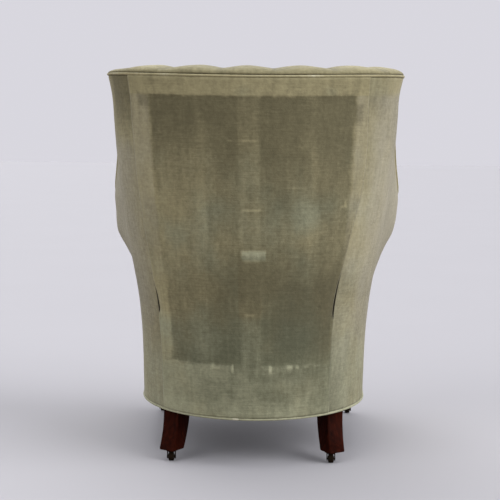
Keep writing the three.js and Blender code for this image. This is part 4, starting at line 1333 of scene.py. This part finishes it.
castorPlaces = {
    "back_left": (202.665, 237.21), "back_right": (-202.665, 237.21),
    "front_left": (275.587, -323.7), "front_right": (-275.587, -323.7),
}
castor = {
    "trail": 6, "axle": 10.865, "width": 16, "cheek": 2.2, "cheekGap": 0.8, "eye": 5.6, "pinEnd": 3.4,
    "arm": ((4.6, 15, 11.0), (2.6, 19, 11.2), (1.4, 22, 12.0), (1.0, 24.2, 12.6)),  # y, height and width
}
castorProfiles = {  # radius and height; for wheel and pin, radius and distance from either end
    "plate": [
        (4.6, 25.5), (15.2, 25.5), (16.2, 25.8), (16.5, 26.4), (16.2, 27.3), (15.4, 27.7), (7.2, 27.7), (6.5, 28.4),
        (6.5, 44), (5.2, 45),
    ],
    "hub": [(9.6, 22.3), (10.9, 22.6), (12, 24), (11.6, 25), (11, 25.2), (4, 25.2), (4, 41)],
    "wheel": [(2.2, 0), (5.4, 0), (5.8, 0.4), (6.4, 1.4), (9.8, 1.5), (10.5, 2.2), (10.9, 3.6), (11, 5)],
    "pin": [(1.2, 0), (2.5, 0), (2.6, 0.5), (1.9, 0.8)],
}


def castorCheek(x):  # one side of the fork: an eye round the pin and an arm up to the hub
    clearSelection()
    place = (x * mm, castor["trail"] * mm, castor["axle"] * mm)
    bpy.ops.mesh.primitive_cylinder_add(
        vertices=24, radius=castor["eye"] * mm, depth=castor["cheek"] * mm, rotation=(0, math.pi / 2, 0),
        location=place,
    )
    eye = bpy.context.object
    bpy.ops.object.transform_apply(location=True, rotation=True, scale=True)
    clearSelection()
    bpy.ops.mesh.primitive_plane_add(size=1, location=place)
    arm = bpy.context.object
    arm.scale = (castor["cheek"] * mm, 2 * castor["eye"] * mm, 1)
    bpy.ops.object.transform_apply(location=True, rotation=True, scale=True)
    bpy.ops.object.mode_set(mode="EDIT")
    bpy.ops.mesh.select_all(action="SELECT")
    last = ((x, castor["trail"], castor["axle"]), 2 * castor["eye"])
    for y, z, width in castor["arm"]:
        last = extrudeTo((x, y, z), width, last)
    bpy.ops.object.mode_set(mode="OBJECT")
    outwards(arm, 0.00001)
    cheek = joined("cheek", [eye, arm])
    return applied(cheek, "BEVEL", width=0.5 * mm, segments=2, limit_method="ANGLE", angle_limit=math.radians(50))


def castorHorn():
    hub = turnedPiece("hub", castorProfiles["hub"], 28)
    reach = castor["width"] / 2 + castor["cheekGap"] + castor["cheek"] / 2
    cheeks = [castorCheek(side * reach) for side in (-1, 1)]
    return smoothShaded(joined("horn", [hub, *cheeks]), 40)


def onAxle(name, half, sides):  # turned the same at both ends, and laid on the axle
    ends = castorProfiles[name]
    profile = [(r, -half + d) for r, d in ends] + [(r, half - d) for r, d in reversed(ends)]
    piece = turnedPiece(name, profile, sides)
    piece.data.transform(Matrix.Rotation(math.pi / 2, 4, "Y"))
    piece.data.transform(Matrix.Translation((0, castor["trail"] * mm, castor["axle"] * mm)))
    return piece


def castors():
    half = castor["width"] / 2
    patterns = {
        "socket": (turnedPiece("plate", castorProfiles["plate"], 32), "iron", "castor_iron"),
        "horn": (castorHorn(), "iron", "castor_iron"),
        "wheel": (onAxle("wheel", half, 40), "wheel", "castor_wheel"),
        "pin": (onAxle("pin", half + castor["pinEnd"], 16), "iron", "castor_iron"),
    }
    for corner, (x, y) in castorPlaces.items():
        rides = {"socket": "chair", "horn": f"castor_{corner}", "wheel": f"wheel_{corner}", "pin": f"castor_{corner}"}
        for part, (pattern, finish, slot) in patterns.items():
            piece = copied(pattern, f"{part}_{corner}", Matrix.Translation((x * mm, y * mm, 0)))
            dress(piece, finish, rides[part], [f"castor_{part}_{corner}"])
    for pattern, _, _ in patterns.values():
        bpy.data.objects.remove(pattern)


castors()
print("castors are on")


# dust cover and tacks

bottom = {"top": 126.7, "turning": 0.9, "thickness": 1.0, "front": -337.5, "inset": 3.6, "sag": 5}


def bottomEdge(y):  # half width of the body's underside at a depth, found by halving
    low, high = 0.0, 1.0
    for _ in range(24):
        middle = (low + high) / 2
        if wallPoint(middle, body["floorGap"], bottom["inset"])[1] > y:
            low = middle
        else:
            high = middle
    return wallPoint(low, body["floorGap"], bottom["inset"])[0]


def dustCover():
    backY = wallPoint(0, body["floorGap"], 4)[1]
    rows = []
    for t in steps(0, 1, 90):
        y = lerp(bottom["front"], backY - 0.4, 1 - (1 - t) ** 1.6)
        half = bottomEdge(y)
        row = []
        for u in steps(-1, 1, 80):
            x = half * math.sin(u * math.pi / 2)
            toEdge = min(half - abs(x), y - bottom["front"], math.hypot(half, backY - y) * 0.5)
            sag = bottom["sag"] * smooth(toEdge, 12, 150) + 0.5 * ripple((x, y, 0), 0.03) * smooth(toEdge, 5, 30)
            row.append((x, y, bottom["top"] - bottom["turning"] - sag))
        rows.append(row)
    piece = gridPiece("dust_cloth", rows[::-1])
    applied(piece, "SOLIDIFY", thickness=bottom["thickness"] * mm, offset=-1)
    smoothShaded(piece)
    return dress(piece, "linen", stands=["dust_cover"])


tack = {
    "radius": 3.6, "flat": 0.35, "gap": 38, "fromLeg": 38, "fromWall": 13, "fromFront": 8, "frontHalf": 235,
    "height": 124.9,
}
legPlaces = [(191.7, 181.2), (-191.7, 181.2), (275.6, -323.7), (-275.6, -323.7)]


def tacks():
    places, walk = [], 0.0
    front = bottom["front"] + tack["fromFront"]
    line = [wallPoint(s, body["floorGap"], tack["fromWall"]) for s in steps(-1, 1, 600)]
    for a, b in zip(line, line[1:]):
        walk += math.dist(a, b)
        nearLeg = any(math.dist((b[0], b[1]), leg) < tack["fromLeg"] for leg in legPlaces)
        if walk > tack["gap"] and not nearLeg and b[1] > front:
            places.append((b[0], b[1]))
            walk = 0.0
    places += [(x, front) for x in steps(-tack["frontHalf"], tack["frontHalf"], 12)]
    moves = [Matrix.Translation((x * mm, y * mm, tack["height"] * mm)) for x, y in places]
    piece = scattered(flatBall(8, 5, tack["radius"], tack["flat"]), "bottom_tacks", moves)
    return dress(piece, "iron")


dustCloth = dustCover()
tacks()
print("dust cover is tacked on")


# what stays from the frame

insideFinish = [
    ("seat_spring", "spring"), ("seat_webbing", "jute"), ("spring_canvas", "jute"), ("back_canvas", "jute"),
    ("rail", "beech"), ("slat", "beech"), ("post", "beech"), ("stump", "beech"),
]
for name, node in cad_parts.items():
    for word, finish in insideFinish:
        if word in name:
            node.data.materials.clear()
            node.data.materials.append(finishes[finish])
            break


def stageFloor():
    clearSelection()
    bpy.ops.mesh.primitive_plane_add(size=floorSettings["size"], location=(0, 0, 0))
    piece = bpy.context.object
    piece.name = "floor"
    piece.data.materials.append(plainStage())


stageFloor()
